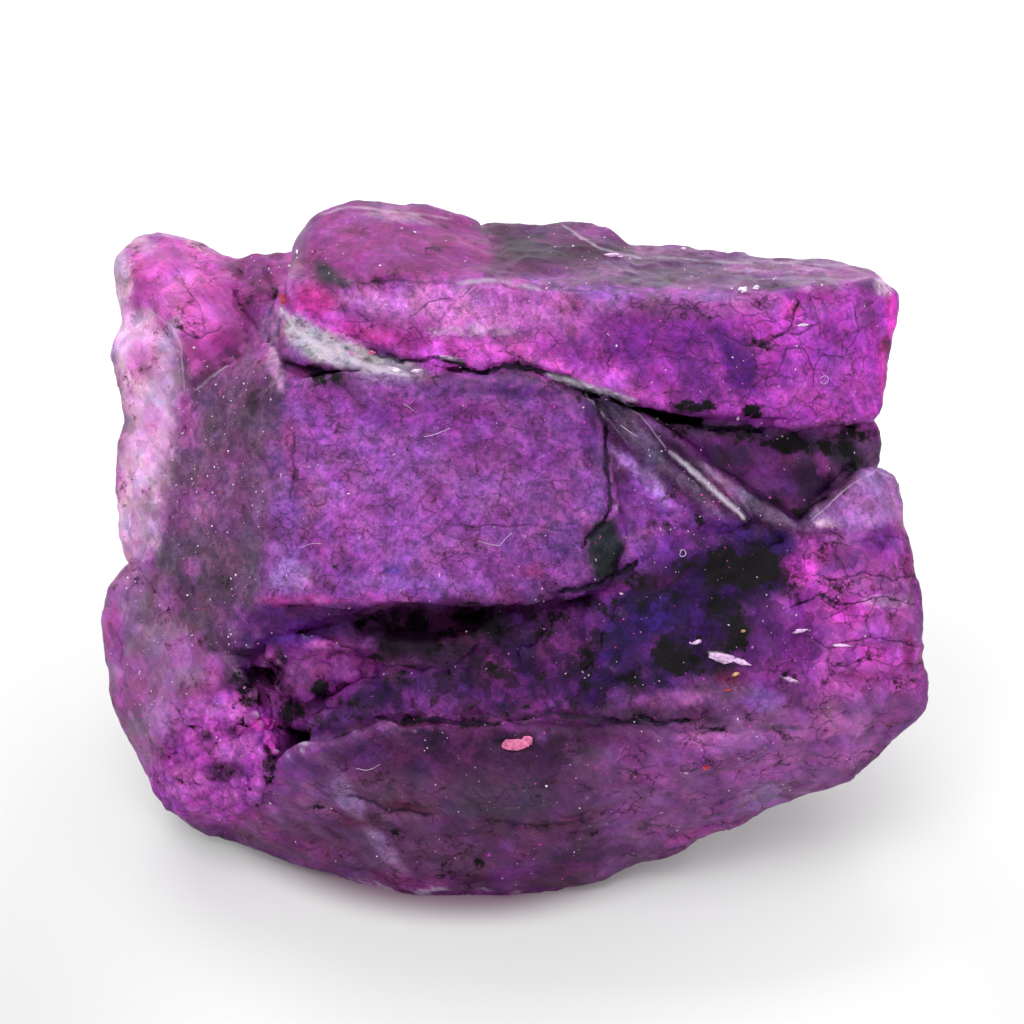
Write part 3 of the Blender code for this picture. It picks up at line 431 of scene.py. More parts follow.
        ("hot_pink", 0.8, 29.2, 15.1, 0.5, 1.8), ("hot_pink", 0.65, 28.5, 10.8, 0.4, 2.5),
        ("wine", 0.8, 28.8, 12.8, 0.4, 0.8), ("pale_pink", 0.6, 28.6, 17.5, 0.9, 0.9, -30),
        ("smoke_dark", 0.5, 27.2, 15.4, 0.9, 1.4), ("rose_red", 0.5, 21.5, 15.6, 0.9, 0.7),
        ("violet", 0.5, 14.5, 11.7, 2, 2.3), ("magenta", 0.4, 9.8, 8.6, 2, 0.8, -15),
        ("purple_dark", 0.5, 6, 12.2, 4, 1.2, -10), ("purple_dark", 0.55, 14.8, 9.6, 2.2, 2.4),
        ("ash", 0.4, 13.5, 15.9, 11, 0.9), ("dark_violet", 0.4, 6.4, 13, 3.2, 1.8),
        ("dark_violet", 0.45, 14.5, 10.2, 1.8, 2.4), ("purple_dark", 0.55, 20.6, 10.9, 1.8, 1.8),
        ("rosy_mauve", 0.5, 26, 6.3, 2, 0.6), ("purple_dark", 0.35, 9.6, 13.4, 5, 2.2),
        ("purple_dark", 0.35, 17.6, 13.6, 2.4, 1.2), ("grey_plum", 0.35, 12.8, 15.5, 2.6, 0.8),
        ("purple_dark", 0.3, 25, 13, 2.4, 1.8),
    ],
    "panel": [
        ("rose_mauve", 0.55, -16.9, 4.8, 0.5, 3.2, 4), ("lavender", 0.35, -17.5, -0.6, 1.5, 3.7),
        ("pale_lavender", 0.7, -17.1, -5.1, 1.8, 1.2), ("deep_rose", 0.7, -16.3, -6.8, 3.2, 0.5),
        ("deep_rose", 0.6, -14.6, -3.1, 0.7, 0.7), ("blue", 0.7, -9.1, -4.5, 0.9, 0.3),
        ("blue_violet", 0.45, -12.5, -4.6, 1.8, 0.5), ("rose", 0.5, -10.9, -6.8, 4.6, 0.3),
        ("deep_rose", 0.65, 1.4, -4.6, 1.4, 0.6), ("violet", 0.75, 0.6, 9.2, 4.2, 0.6, -3),
        ("ink_and_shade", 0.6, 6, 8.5, 1.2, 0.6, -30), ("blue_violet", 0.4, -5.5, 9.2, 3.1, 0.7),
        ("mauve_light", 0.5, -10.2, 2.5, 4.6, 2.8), ("mauve_light", 0.4, -6.3, -2.5, 6.2, 2),
        ("mauve_light", 0.4, 0.6, 0.9, 3.8, 2), ("purple", 0.4, 2.9, 4.4, 2.6, 1.4),
        ("green_grey", 0.35, -0.2, 3.2, 0.6, 0.5), ("lavender_dark", 0.6, 3.8, -2.5, 1.8, 1.7),
        ("purple", 0.65, -6.1, 7.6, 6.4, 1.4), ("violet", 0.5, 6, 5.5, 0.8, 2.6),
        ("lavender_dark", 0.5, 6.8, 2.5, 0.7, 3.1), ("purple_dark", 0.35, -14, 8.6, 2.6, 1.2),
        ("lavender", 0.4, -7.1, -5.6, 8.5, 0.5, -2), ("rosy_mauve", 0.4, -15.5, 1.7, 1.2, 1.8),
        ("purple", 0.3, -3.2, 5.5, 3.1, 0.9),
    ],
    "ledge_left": [
        ("ash_pink", 0.7, -18.2, 14.4, 1.1, 1.7), ("soft_pink", 0.6, -18.2, 11.1, 0.5, 2, 15),
        ("rose", 0.4, -19.2, 12.3, 0.6, 1.1), ("deep_rose", 0.5, -16.3, 10.8, 1.1, 0.5),
    ],
    "middle": [
        ("deep_magenta", 0.5, -0.2, -6.8, 1.2, 1.1), ("blue_violet", 0.7, 9.8, -7.7, 4.2, 2, 8),
        ("plum_violet", 0.6, 1, -8.7, 2.6, 1.1, 25), ("violet", 0.5, 13.7, -4.8, 2.3, 1.4),
        ("ink_violet", 0.7, -2.3, -12.3, 2, 1.5), ("ink_and_shade", 0.55, 12, -10.8, 2, 0.9, 20),
        ("ink_and_shade", 0.6, 9.8, -12.6, 3.1, 0.9, 5), ("ink_and_shade", 0.55, 5.8, -12, 0.7, 2.6),
        ("plum_violet", 0.7, -6.3, -13.7, 2.6, 1.5), ("plum_violet", 0.6, -12.5, -15.4, 2.6, 1.1, 10),
        ("lilac_dark", 0.65, 8.5, -14.2, 1.7, 0.9), ("rosy_mauve", 0.6, 12.6, -14.5, 2.5, 0.8, 5),
        ("wine", 0.8, 16.6, -12.6, 1.5, 0.7), ("ink_violet", 0.6, -4.8, -17.4, 5.4, 1),
        ("smoke_dark", 0.6, 3.7, -17.2, 2.6, 1.2), ("deep_magenta", 0.4, -7.1, -16.2, 4.6, 0.4),
        ("ink_violet", 0.6, 7.5, -5.2, 3.1, 0.6, 12), ("deep_magenta", 0.4, 11.4, -5.4, 2, 0.6, 15),
        ("ink_violet", 0.45, 2.9, -10.6, 2.6, 0.5, 12), ("violet", 0.4, 2.2, -13.7, 3.1, 0.9),
        ("ink_and_shade", 0.55, 14.5, -10.6, 0.9, 1.2), ("indigo", 0.5, 11.5, -11.6, 4, 1.3),
        ("plum_violet", 0.6, 0.6, -8.7, 2, 1), ("dark_violet", 0.45, 16.4, -11.2, 3, 1.5),
        ("dark_violet", 0.4, 3.7, -9.8, 1.8, 1.2), ("ink_violet", 0.3, 9.8, -12.9, 2, 1),
        ("plum_violet", 0.4, 3.9, -14.4, 1.6, 0.8), ("ink_violet", 0.35, 12.1, -5.3, 1.6, 0.9),
    ],
    "foot": [
        ("mauve_light", 0.35, 11, 0.5, 2.3, 1.5, -25), ("rosy_mauve", 0.5, 9.8, -2.5, 2.3, 1.1, 25),
        ("ink_and_shade", 0.7, 14.5, -0.5, 0.8, 1.1), ("smoke", 0.55, 8.2, 3.6, 0.7, 3, 8),
        ("blue_violet", 0.7, 17.2, -1.4, 2, 0.9, -10), ("blue_violet", 0.6, 20.2, -2.2, 1.5, 0.9),
        ("ink_and_shade", 0.6, 21.4, -2.2, 0.8, 0.8), ("lavender", 0.15, 9.8, 3.2, 1.4, 2, -30),
        ("rose_mauve", 0.4, 13.7, -2.2, 1.1, 0.8), ("purple", 0.5, 7.5, -6, 2.3, 0.5, 15),
        ("violet", 0.6, 12, -2.8, 3.6, 1.4, 5), ("dark_violet", 0.45, 14.3, -1.7, 1.4, 0.9),
    ],
    "blades": [
        ("pale_lavender", 0.5, 9.8, 3.1, 3.5, 0.5, -42), ("green_grey", 0.6, 7.7, 8, 1.8, 0.6, -30),
        ("pale_lavender", 0.3, 11, 1.7, 2.3, 0.4, -48), ("night_plum", 0.5, 14.5, 3.2, 2.3, 0.3, -45),
        ("grey_plum", 0.4, 16, 0.9, 3.1, 0.5, -40),
    ],
    "recess_floor": [
        ("purple", 0.45, 17.5, 5.4, 4.6, 0.5, -3), ("ink_and_shade", 0.75, 22.9, 5, 4.6, 0.7, -4),
        ("magenta", 0.65, 23.8, 3.7, 0.5, 1.1, 10), ("ink_violet", 0.5, 20.6, 0.9, 2.3, 0.9),
        ("purple_dark", 0.5, 14.5, 4.8, 1.8, 0.9, -20), ("green_ink", 0.6, 26, 4.4, 1.5, 0.8),
        ("deep_magenta", 0.15, 19.8, 3.2, 3.1, 0.8), ("violet", 0.4, 19.1, 4.8, 3.8, 0.6),
        ("violet", 0.35, 19.1, 3.1, 2.8, 0.8),
    ],
    "right_block": [
        ("hot_magenta", 0.75, 22.2, -4.5, 1.7, 1.2), ("hot_magenta", 0.65, 26, -7.7, 1.5, 1.1),
        ("rosy_mauve", 0.5, 28.3, -5.4, 2.5, 0.7), ("orchid_light", 0.6, 27.4, -9.4, 2.5, 0.7),
        ("blue_violet", 0.6, 20.8, -2.5, 1.2, 0.9), ("blue_violet", 0.5, 19.8, -6, 0.8, 1.1),
        ("violet", 0.7, 19.5, -8.9, 1.4, 1.5), ("wine", 0.6, 30.5, -3.7, 0.5, 2),
        ("wine", 0.65, 30.5, -10.8, 0.5, 1.8), ("rosy_mauve", 0.5, 26, -3.4, 1.8, 0.9),
        ("orchid_light", 0.5, 24.9, -11.4, 3.4, 0.7, 8), ("lilac", 0.4, 26.9, -2.2, 3.1, 0.5),
        ("hot_magenta", 0.5, 28.3, -11, 1.8, 0.8), ("deep_magenta", 0.5, 26.8, -12.6, 2.3, 0.5),
        ("pale_pink", 0.75, 24.2, -0.9, 1.1, 0.3, -4), ("violet", 0.5, 22.2, -6.8, 1.1, 0.8),
        ("soft_pink", 0.35, 28.9, -6.8, 2, 0.6), ("deep_magenta", 0.5, 29.5, -1.4, 0.8, 0.9),
        ("plum", 0.4, 28.5, -3, 2.6, 1.6), ("purple_dark", 0.6, 20, -10.2, 4.2, 3.8),
        ("dark_violet", 0.75, 19.4, -9.4, 2.6, 3), ("ink_violet", 0.6, 17.5, -8.3, 1.2, 1.6),
        ("purple_dark", 0.7, 22.4, -9, 2, 3.4), ("dark_violet", 0.5, 21.4, -13.7, 2.4, 1.2),
        ("purple_dark", 0.6, 28.3, -2.2, 2.2, 1.2), ("purple_dark", 0.5, 25.2, -3.7, 1.7, 1.2),
        ("purple_dark", 0.35, 28.3, -2.4, 2, 0.9), ("dark_violet", 0.45, 19.2, -3.8, 1.3, 1.1),
        ("dark_violet", 0.4, 20, -6.6, 1.4, 0.9), ("purple_dark", 0.35, 24.4, -1.8, 1.6, 0.8),
    ],
    "right_facet": [
        ("pale_lavender", 0.5, 28.7, 0.9, 1.7, 0.8, -10), ("lilac", 0.5, 26, -0.5, 2.6, 0.7),
        ("plum_violet", 0.5, 25.4, 0.7, 1.6, 0.6, 40), ("bright_pink", 0.5, 30.4, -1, 0.5, 0.8),
        ("deep_magenta", 0.5, 30.6, -1, 0.7, 3, 10), ("rosy_mauve", 0.45, 29.4, 0.8, 1.2, 1.3),
        ("rosy_mauve", 0.3, 27, 1, 1.6, 1),
    ],
    "band": [
        ("rosy_mauve", 0.65, 14.5, -17.7, 2.6, 0.9), ("mauve_grey", 0.6, 14.5, -20, 3.1, 1.1),
        ("rosy_mauve", 0.6, 24.1, -16.6, 4.3, 1.1, 5), ("lavender", 0.5, 19.2, -14.5, 1.7, 0.9),
        ("green_ink", 0.65, 20.8, -16.6, 1.8, 0.3, 3), ("smoke_dark", 0.6, 15.7, -16, 1.1, 0.5),
        ("rosy_mauve", 0.5, 26, -18.3, 2.6, 1.2, 30), ("grey_plum", 0.5, 2.5, -21.4, 5.4, 1.8),
        ("green_grey", 0.5, -0.9, -22.2, 4.6, 1.2, 5), ("wine_dark", 0.7, -12.3, -23.8, 2.3, 0.5),
        ("wine_dark", 0.8, -8.2, -22.7, 2.3, 0.4, -8), ("mauve_grey", 0.6, -16.3, -22.5, 3.4, 1.4, -10),
        ("violet", 0.45, -16.3, -19.7, 2.3, 0.9), ("mauve_grey", 0.6, 10.6, -23.8, 3.8, 1.4, 8),
        ("wine_dark", 0.5, 2.5, -24.2, 3.8, 0.3, 5), ("plum", 0.5, 2.5, -27.7, 4.6, 0.5, 6),
        ("night_plum", 0.6, 6.8, -26.2, 3.8, 0.5, 6), ("grey_plum", 0.6, -5.5, -25.6, 4.6, 1.7),
        ("lavender_grey", 0.5, -12.5, -22.2, 0.8, 2.3, 40),
        ("lavender_grey", 0.45, -9.8, -26, 0.7, 2.3, 40), ("plum", 0.5, -8.6, -28.3, 3.1, 0.6, -15),
        ("mauve_grey", 0.5, 6.8, -19.8, 3.1, 0.9), ("green_grey", 0.4, 5.6, -18.7, 3.1, 0.8),
        ("rosy_mauve", 0.4, 19.1, -19.8, 3.8, 0.9, 10), ("wine_dark", 0.5, 12.9, -26.9, 2.3, 0.3, 12),
        ("plum", 0.4, -16.3, -25.6, 3.8, 0.6, -14), ("rose", 0.4, 14.5, -24.8, 3.1, 0.6, 14),
        ("deep_magenta", 0.4, 9.8, -20.6, 2.3, 0.4, 10), ("lavender_grey", 0.45, 19.1, -22, 2.4, 1.2, 20),
        ("grey_plum", 0.4, 9.2, -20, 2.4, 2.4), ("ink_violet", 0.35, -4.8, -17.6, 2.2, 0.9),
        ("mauve_grey", 0.35, -2.5, -26, 3, 1.2),
    ],
}

# Loose chips lying on the front: paint, seen place, length, width, thickness and turn in degrees.
LOOSE_CHIPS = [
    ("pale_salmon", 0.3, -17.9, 2.9, 1.1, 0.35, 4),
    ("pale_salmon", 1.2, -17.6, 1.1, 0.9, 0.3, 40),
    ("grain_red", 14.9, -19.6, 0.6, 0.5, 0.3, 0),
    ("chalk", 17.8, 17, 0.9, 0.6, 0.3, -20),
    ("chalk", 18.8, 17.2, 0.6, 0.4, 0.25, 10),
    ("chalk", 22.4, 14.4, 1.0, 0.25, 0.15, 6),
    ("chalk", 17.4, 7.3, 0.3, 0.6, 0.25, 10),
    ("chalk", -9, 10.9, 1.3, 0.4, 0.2, -24),
    ("chalk", -7.4, 10.8, 1.1, 0.3, 0.18, 5),
    ("pale_lilac", 16.2, -11.2, 2.4, 0.9, 0.3, -12),
    ("pale_lilac", 17.7, -11.5, 1.5, 0.5, 0.25, -15),
    ("pale_lilac", 14.2, -10, 0.8, 0.4, 0.25, 20),
    ("grain_ochre", 17.8, -9.2, 0.35, 0.3, 0.2, 0),
    ("grain_ochre", 17.2, -12.5, 0.6, 0.4, 0.25, 30),
    ("grain_red", 16.6, -13.7, 0.7, 0.3, 0.2, 5),
    ("grain_red", -17.5, 16.3, 1, 0.4, 0.25, -35),
    ("chalk", -16.5, 20, 0.2, 0.9, 0.12, 5),
    ("chalk", -17.1, 18.9, 0.35, 0.25, 0.12, 0),
    ("pale_lilac", 7.8, 19.7, 1.7, 0.4, 0.2, 8),
    ("pale_lilac", 22.2, -9.1, 1.6, 0.35, 0.2, 3),
    ("pale_lilac", 25.2, -10.3, 2, 0.35, 0.2, -6),
    ("pale_lilac", 21.4, -12.9, 1.2, 0.35, 0.2, -12),
    ("chalk", 13.2, 20.2, 0.5, 0.25, 0.15, 0),
    ("pale_salmon", -10.8, 12.2, 0.7, 0.4, 0.25, 0),
]

# Curled fibres lying on the front: paint, radius and run of seen places.
FIBRES = [
    ("fibre", 0.03, [
        (12.9, -3.0), (13.2, -2.85), (13.45, -3.2), (13.15, -3.5), (12.85, -3.3), (13.05, -3.0),
    ]),
    ("fibre", 0.032, [(23.69, 10.31), (24.15, 10.54), (24.38, 10.15), (24, 9.77), (23.69, 10)]),
    ("fibre", 0.03, [(-6.77, 5.77), (-6, 5.92), (-5.23, 6.23), (-4.77, 6.46)]),
    ("fibre", 0.022, [(-8.38, 8.31), (-8, 8.15), (-7.54, 7.77)]),
    ("fibre", 0.022, [(-2.62, -2.23), (-1.85, -2.46), (-0.92, -2.62)]),
    ("fibre", 0.022, [(-0.92, -2.54), (-0.46, -2), (0, -1.62)]),
    ("fibre", 0.028, [(8.31, 6.69), (8.92, 6.23), (9.69, 5.77)]),
    ("fibre", 0.022, [(-12, -19.69), (-11.08, -19.92), (-10.15, -19.38)]),
    ("fibre", 0.022, [(-16.31, -2.77), (-15.38, -2.38), (-14.62, -2.46)]),
]

# How an area looks, each from 0 to 1, in the order of LOOK_NAMES.
# The sheen look is a painted sheen: pale light laid into the colour.
LOOK_NAMES = ("rugged", "crackle", "cells", "sheen", "shine", "sugar", "ledges", "ridges")
RUGGED, CRACKLE, CELLS, SHEEN, SHINE, SUGAR, LEDGES, RIDGES = range(len(LOOK_NAMES))
ALL_ROUND_LOOK = (0.65, 0.6, 0.0, 0.03, 0.5, 0.0, 0.35, 0.1)
AREA_LOOKS = {
    "slab_left_top": (0.35, 0.35, 0, 0.12, 0.45, 0, 0.1, 0.1),
    "slab_middle_top": (0.6, 0.25, 0, 0, 0.5, 0, 0.3, 0),
    "slab_right_top": (0.4, 0.25, 0.1, 0.12, 0.6, 0, 0.5, 0),
    "slab_brow": (0.25, 0.45, 0.1, 0.12, 0.6, 0, 0.3, 0),
    "slab_left_face": (0.35, 0.75, 0, 0.02, 0.5, 0, 0.3, 0),
    "ledge": (0.6, 0.1, 0, 0.4, 0.8, 0, 0, 0),
    "slab_right_face": (0.45, 0.85, 0.6, 0.02, 0.5, 0, 0, 0),
    "slab_end": (1, 0.5, 0, 0, 0.5, 0, 0, 0.4),
    "knob": (0.4, 0.5, 0, 0.1, 0.45, 0, 0, 0.2),
    "saddle": (0.7, 0.4, 0, 0.05, 0.4, 0, 0, 0.2),
    "rims": (0.4, 0.2, 0, 0.15, 0.9, 0, 0, 0.2),
    "flank": (0.3, 0.15, 0, 0.05, 0.9, 0, 0, 0.15),
    "panel": (0.3, 0.7, 0, 0.04, 0.4, 0, 0.1, 0.12),
    "lobe": (0.5, 0.3, 0, 0.1, 0.5, 0, 0.1, 0.1),
    "under_lip": (1, 0.5, 0, 0, 0.4, 0, 0.3, 0),
    "middle": (0.75, 0.9, 0, 0, 0.5, 0, 0.2, 1),
    "middle_blue": (0.8, 0.8, 0, 0, 0.5, 0, 0.2, 1),
    "band_left": (0.65, 0.65, 0, 0.1, 0.35, 0, 0.8, 0),
    "band_middle": (0.65, 0.65, 0, 0.04, 0.35, 0, 0.9, 0),
    "band_top": (0.8, 0.5, 0, 0, 0.35, 0, 0.9, 0),
    "band_right": (0.55, 0.85, 0, 0.05, 0.4, 0, 0.7, 0),
    "right_block": (0.9, 0.85, 0.1, 0.02, 0.5, 0, 0.9, 0.45),
    "right_facet": (0.3, 0.5, 0.1, 0.06, 0.7, 0, 0, 0.2),
    "foot": (0.6, 0.8, 0, 0.03, 0.5, 0, 0, 0.7),
    "blade_slope": (0.15, 0.25, 0, 0.3, 0.9, 0, 0, 0.1),
    "blade_strip": (0.15, 0.15, 0, 0.22, 0.95, 0, 0, 0),
    "recess_floor": (0.5, 0.4, 0, 0, 0.5, 0, 0.4, 0),
    "sugar": (0.6, 0.2, 0, 0.05, 0.7, 1, 0, 0.3),
    "nest": (0.7, 0.2, 0, 0.05, 0.7, 0.9, 0, 0),
}

# How bright an area's dye is, how strong its fine grain and how much dust lies on it.
AREA_FINISHES = {
    "slab_left_top": (0.6, 0.4, 0.2),
    "slab_middle_top": (0.85, 0.7, 0.4),
    "slab_right_top": (0.85, 0.7, 0.5),
    "slab_brow": (1, 0.85, 0.24),
    "slab_left_face": (1.25, 0.85, 0.24),
    "ledge": (0.66, 0.8, 0.24),
    "slab_right_face": (1.15, 0.7, 0.24),
    "slab_end": (1, 0.7, 0.24),
    "knob": (0.88, 0.15, 0.24),
    "saddle": (1, 0.7, 0.8),
    "rims": (1.15, 0.08, 0.24),
    "flank": (1, 0.8, 1),
    "panel": (0.82, 1, 0.22),
    "lobe": (1, 0.15, 0.8),
    "under_lip": (1.6, 0.7, 0.5),
    "middle": (0.42, 1, 0.3),
    "middle_blue": (0.8, 0.7, 0.24),
    "band_left": (1.65, 0.25, 0.24),
    "band_middle": (1.25, 0.15, 0.24),
    "band_top": (1.1, 0.7, 0.3),
    "band_right": (1.3, 0.3, 0.24),
    "right_block": (1.28, 0.5, 0.24),
    "right_facet": (1.05, 0.7, 0.3),
    "foot": (1.4, 0.7, 0.5),
    "blade_slope": (0.38, 1, 1),
    "blade_strip": (0.55, 1, 0.7),
    "recess_floor": (0.7, 0.7, 0.24),
    "sugar": (0.87, 0.7, 0.3),
    "nest": (0.42, 0.7, 0.24),
}
ALL_ROUND_GRIT = 0.7
ALL_ROUND_DUST = 0.12
DUST_PER_SQUARE_METRE = 1.1e6
SMALLEST_DUST = 0.03
LARGEST_DUST = 0.105
MOSTLY_SMALL = 2.5
CRUMB_JAG = 0.35
LEAST_CRUMB_STRETCH = (0.6, 0.6, 0.5)
MOST_CRUMB_STRETCH = (1.5, 1.3, 1.0)
FULL_TURN = 6.28
# Seeds of the dust's chances.
JAG_SEED = 3
PLACE_SEED = 5
SIZE_SEED = 11
STRETCH_SEED = 21
TURN_SEED = 31
TINT_SEED = 41

# Specks in the stone: least chance and paint, the rarest last.
SPECKS = [
    (0.5, "ink_violet"),
    (0.66, "deep_magenta"),
    (0.8, "hot_pink"),
    (0.9, "pale_pink"),
]
# Sparkles, much finer.
SPARKLES = [
    (0.6, "ink_violet"),
    (0.76, "deep_magenta"),
    (0.86, "hot_pink"),
    (0.93, "pale_lilac"),
]
# Dust: least chance and paint, chalk below them all.
DUST_PAINTS = ((0.45, "bright_orchid"), (0.7, "hot_pink"), (0.86, "red_sliver"), (0.94, "chalk"))

# Noise patterns: how far apart their broadest bumps are, seed and number of layers.
BROAD_BEND = (8.0, 11, 2)
SMALL_BEND = (2.4, 15, 2)
RUN_BEND = (1.5, 951, 3)
LOOK_BEND = (2.6, 301, 3)
AREA_BEND = (3.2, 601, 4)
DAB_BEND = (2.0, 641, 4)
CRACKLE_DRIFT = (13.0, 401, 3)
TOP_SHEEN_DRIFT = (6.0, 551, 3)
DEPTH_DRIFT = (3.4, 651, 4)
GRAIN_BUMPS = (1.0, 71, 3)
SEED_STEP = 10

# Patches: a noise pattern, then the noise at which they start and at which they are full.
EDGE_CHIPS = (2.6, 31, 3, -0.3, 0.7)
# Patches where sharp edges get the painted highlight.
EDGE_HIGHLIGHT_PATCHES = (4.0, 611, 3, -0.2, 0.5)
INK_PATCHES = (8.0, 711, 4, 0.15, 0.6)
DUST_DRIFTS = (3.0, 701, 3, -0.3, 0.6)
# Patches of dye all round: paint, strength and patches.
ALL_ROUND_DYE = [
    ("fuchsia", 0.8, (14.0, 501, 3, -0.1, 0.5)),
    ("violet", 0.85, (12.0, 511, 4, -0.05, 0.45)),
    ("mauve_grey", 0.7, (10.0, 521, 4, 0.0, 0.5)),
    ("indigo", 0.7, (9.0, 531, 3, 0.25, 0.6)),
    ("orchid", 0.6, (7.0, 541, 3, 0.2, 0.6)),
    ("slate", 0.75, (16.0, 561, 3, 0.12, 0.4)),
    ("rose", 0.55, (18.0, 571, 3, 0.15, 0.5)),
    ("night_plum", 0.7, (11.0, 581, 4, 0.3, 0.6)),
]
SMALL_DYE = [
    ("magenta", 0.2, (3.6, 661, 4, 0.1, 0.8)),
    ("violet", 0.25, (3.0, 671, 4, 0.1, 0.8)),
]
# Patches of looks all round: look, strength and patches.
ALL_ROUND_PATCHES = [
    (CELLS, 0.5, (15.0, 421, 2, 0.1, 0.6)),
    # Patches of painted sheen all round.
    (SHEEN, 0.22, (10.0, 431, 3, 0.15, 0.7)),
    (SHINE, 0.3, (17.0, 441, 2, -0.1, 0.6)),
]

# Worn steps that a look brings: the look, their height, way up, spacing and seed.
TERRACES = (
    (LEDGES, 0.5, (0.1, -0.35, 0.93), 2.6, 101),
    (RIDGES, 0.45, (-0.5, -0.4, 0.77), 2.1, 111),
)
TERRACE_WANDER = 7.0
TERRACE_GAPS = 4.0
# Dished breaks: their height on calm stone, more on rugged stone, then size and seed.
DISHES = ((0.1, 0.55, 4.6, 51), (0.04, 0.3, 1.7, 61))
DISH_MIDDLE = 0.3
GRAIN_HEIGHT = 0.08
SUGAR_HEIGHT = 0.55
SUGAR_SIZE = 1.2
SUGAR_SEED = 91
SUGAR_MIDDLE = 0.2
SEAM_WIDTH = 0.3
PALE_LINE_HEIGHT = 0.1
BREAK_BEND = 0.5
BREAK_BEND_SIZE = 1.7
BREAK_BEND_SEED = 41
# A step's bend, where it drops off, its mean height, and the noise at which it ends.
TERRACE_BEND = 0.9
TERRACE_DROP = (0.8, 1.0)
TERRACE_MIDDLE = 0.4
TERRACE_ENDS = (-0.35, 0.5)
# What chips off the edges: how sharp an edge has to be, the least depth and more in patches.
CHIPPED_EDGES = (0.15, 0.8)
CHIP_DEPTH = 0.12
CHIP_DEPTH_IN_PATCHES = 0.4
GRAIN_ON_CALM = 0.1
GRAIN_ON_RUGGED = 1.1
# What juts out of the smooth solid: how far it may, how far is too much, and the share worn off.
WORN_JUTS = (0.5, 1.1, 0.8)
WORN_BULGES = (0.9, 1.7)
BULGE_SHARE = 0.75
BROAD_PUSH = 0.62
SMALL_PUSH = 0.2

# The front's share: how squarely a face looks out of it, and how far back it reaches.
FRONT_FACING = (-0.12, 0.12)
FRONT_REACH = (-19.0, -15.0)
# Drawn lines: how thick their ends stay, and where their sides fade, in half widths.
GROOVE_END = 0.3
GROOVE_SIDES = (0.3, 1.7)
GROOVE_CHANGE = 0.9
TRACED_END = 0.35
TRACED_FADE = (0.12, 0.55)
DAB_EDGE = (0.65, 1.2)

# Rounds of easing, from the finest bumps to the broadest.
FINE_ROUNDS = 3
CREASE_ROUNDS = 14
CHIP_ROUNDS = 25
JUT_ROUNDS = 60
DEEP_ROUNDS = 90
BROAD_ROUNDS = 120

AREA_BLUR = 1.7
# How far the edges of looks, areas and dabs stray, and how much of that the dark places and glints take.
LOOK_STRAY = 0.4
AREA_STRAY = 0.8
DAB_STRAY = 0.4
DARK_PLACE_STRAY = 0.7
GLINT_STRAY = 0.3
# Painted sheen greying upward faces and painted shade darkening downward faces: strength of the paint there,
# where it starts and is full.
TOP_SHEEN = (0.5, 0.35, 0.95)
TOP_SHEEN_STRAY = 0.3
UNDERSIDE_SHADE = (0.6, 0.1, 0.8)
CRACKLE_CHANGE = 0.35
DEPTH_CHANGE = 0.16
# Painted shade in creases and deep hollows, and painted highlight on sharp outer edges: how hollow counts as
# full, then strength, start and full.
CREASE_FULL = 0.35
CREASE_SHADE = (0.6, 0.15, 0.8)
DEEP_FULL = 1.3
DEEP_SHADE = (0.3, 0.25, 0.85)
HIGHLIGHTED_EDGES = (0.25, 0.9)
EDGE_HIGHLIGHT_PALENESS = 0.3
BACK_INK = 0.4
GROOVE_INK = 0.4
GROOVE_INK_WIDTH = 1.3
DUST_FACING_UP = (-0.6, 0.6)
DUST_BETWEEN_DRIFTS = 0.4
DUST_IN_DRIFTS = 1.2
RUN_WOBBLE = 0.4
CRACK_WIDTH = 0.75
STREAK_TURN = math.radians(-52.0)
FAR_OFF = 1000.0

# Layers of a chip: height and width as shares of its own.
CHIP_LAYERS = ((-0.3, 0.9), (0.35, 1.0), (0.8, 0.85), (1.0, 0.5))
CHIP_CORNERS = 9
CHIP_BRIGHTNESS = 1.15
CHIP_SEED = 17
CHIP_REACH = (0.5, 1.15)
CHIP_LIFT = (0.8, 1.2)
FIBRE_CORNERS = 5
FIBRE_TIP = 0.45

# Cells in the stone's dye, in repeats a metre.
MOSAIC_SCALE = 1000.0
CRACKLE_SCALE = 680.0
CELL_SCALE = 330.0
SPARKLE_SCALE = 2500.0
# Noises in the dye: repeats a metre, finer layers and how rough they are.
BEND_NOISE = (430.0, 5.0, 0.6)
GRAIN_NOISE = (1700.0, 6.0, 0.78)
STREAK_NOISE = (900.0, 4.0, 0.6)
CHIP_NOISE = (3200.0, 4.0, 0.6)
DUST_NOISE = (9000.0, 2.0, 0.5)
PATTERN_BEND = 0.0024
STREAK_SHARE = 0.08
SPECK_REACH = 0.11
SPARKLE_REACH = 0.16
# Ramps of the patterns: from low to high, then what they give there, if not 0 and 1.
GRAIN_SHADES = (0.36, 0.64, 0.6, 1.46)
STREAK_SHADES = (0.38, 0.64, 0.86, 1.2)
CHIP_SHADES = (0.3, 0.7, 0.6, 1.2)
DUST_SHADES = (0.3, 0.7, 0.8, 1.15)
CRACKLE_PATCHES = (0.4, 0.58)
SHEEN_STREAKS = (0.3, 0.7, -0.45, 0.3)
SHEEN_EDGE = (0.3, 0.95)
COVER_BLOTCHES = (0.3, 0.7, -0.5, 0.5)
COVER_GRAIN = (0.3, 0.7, -0.3, 0.3)
COVER_EDGE = (0.3, 0.85)
ROUGH_SIDE = (0.3, 0.7, -0.5, 0.5)
GLINT_STREAKS = (0.35, 0.6, 0.4, 1.0)
ROUGH_GRAIN = (0.2, 0.8, -0.06, 0.1)
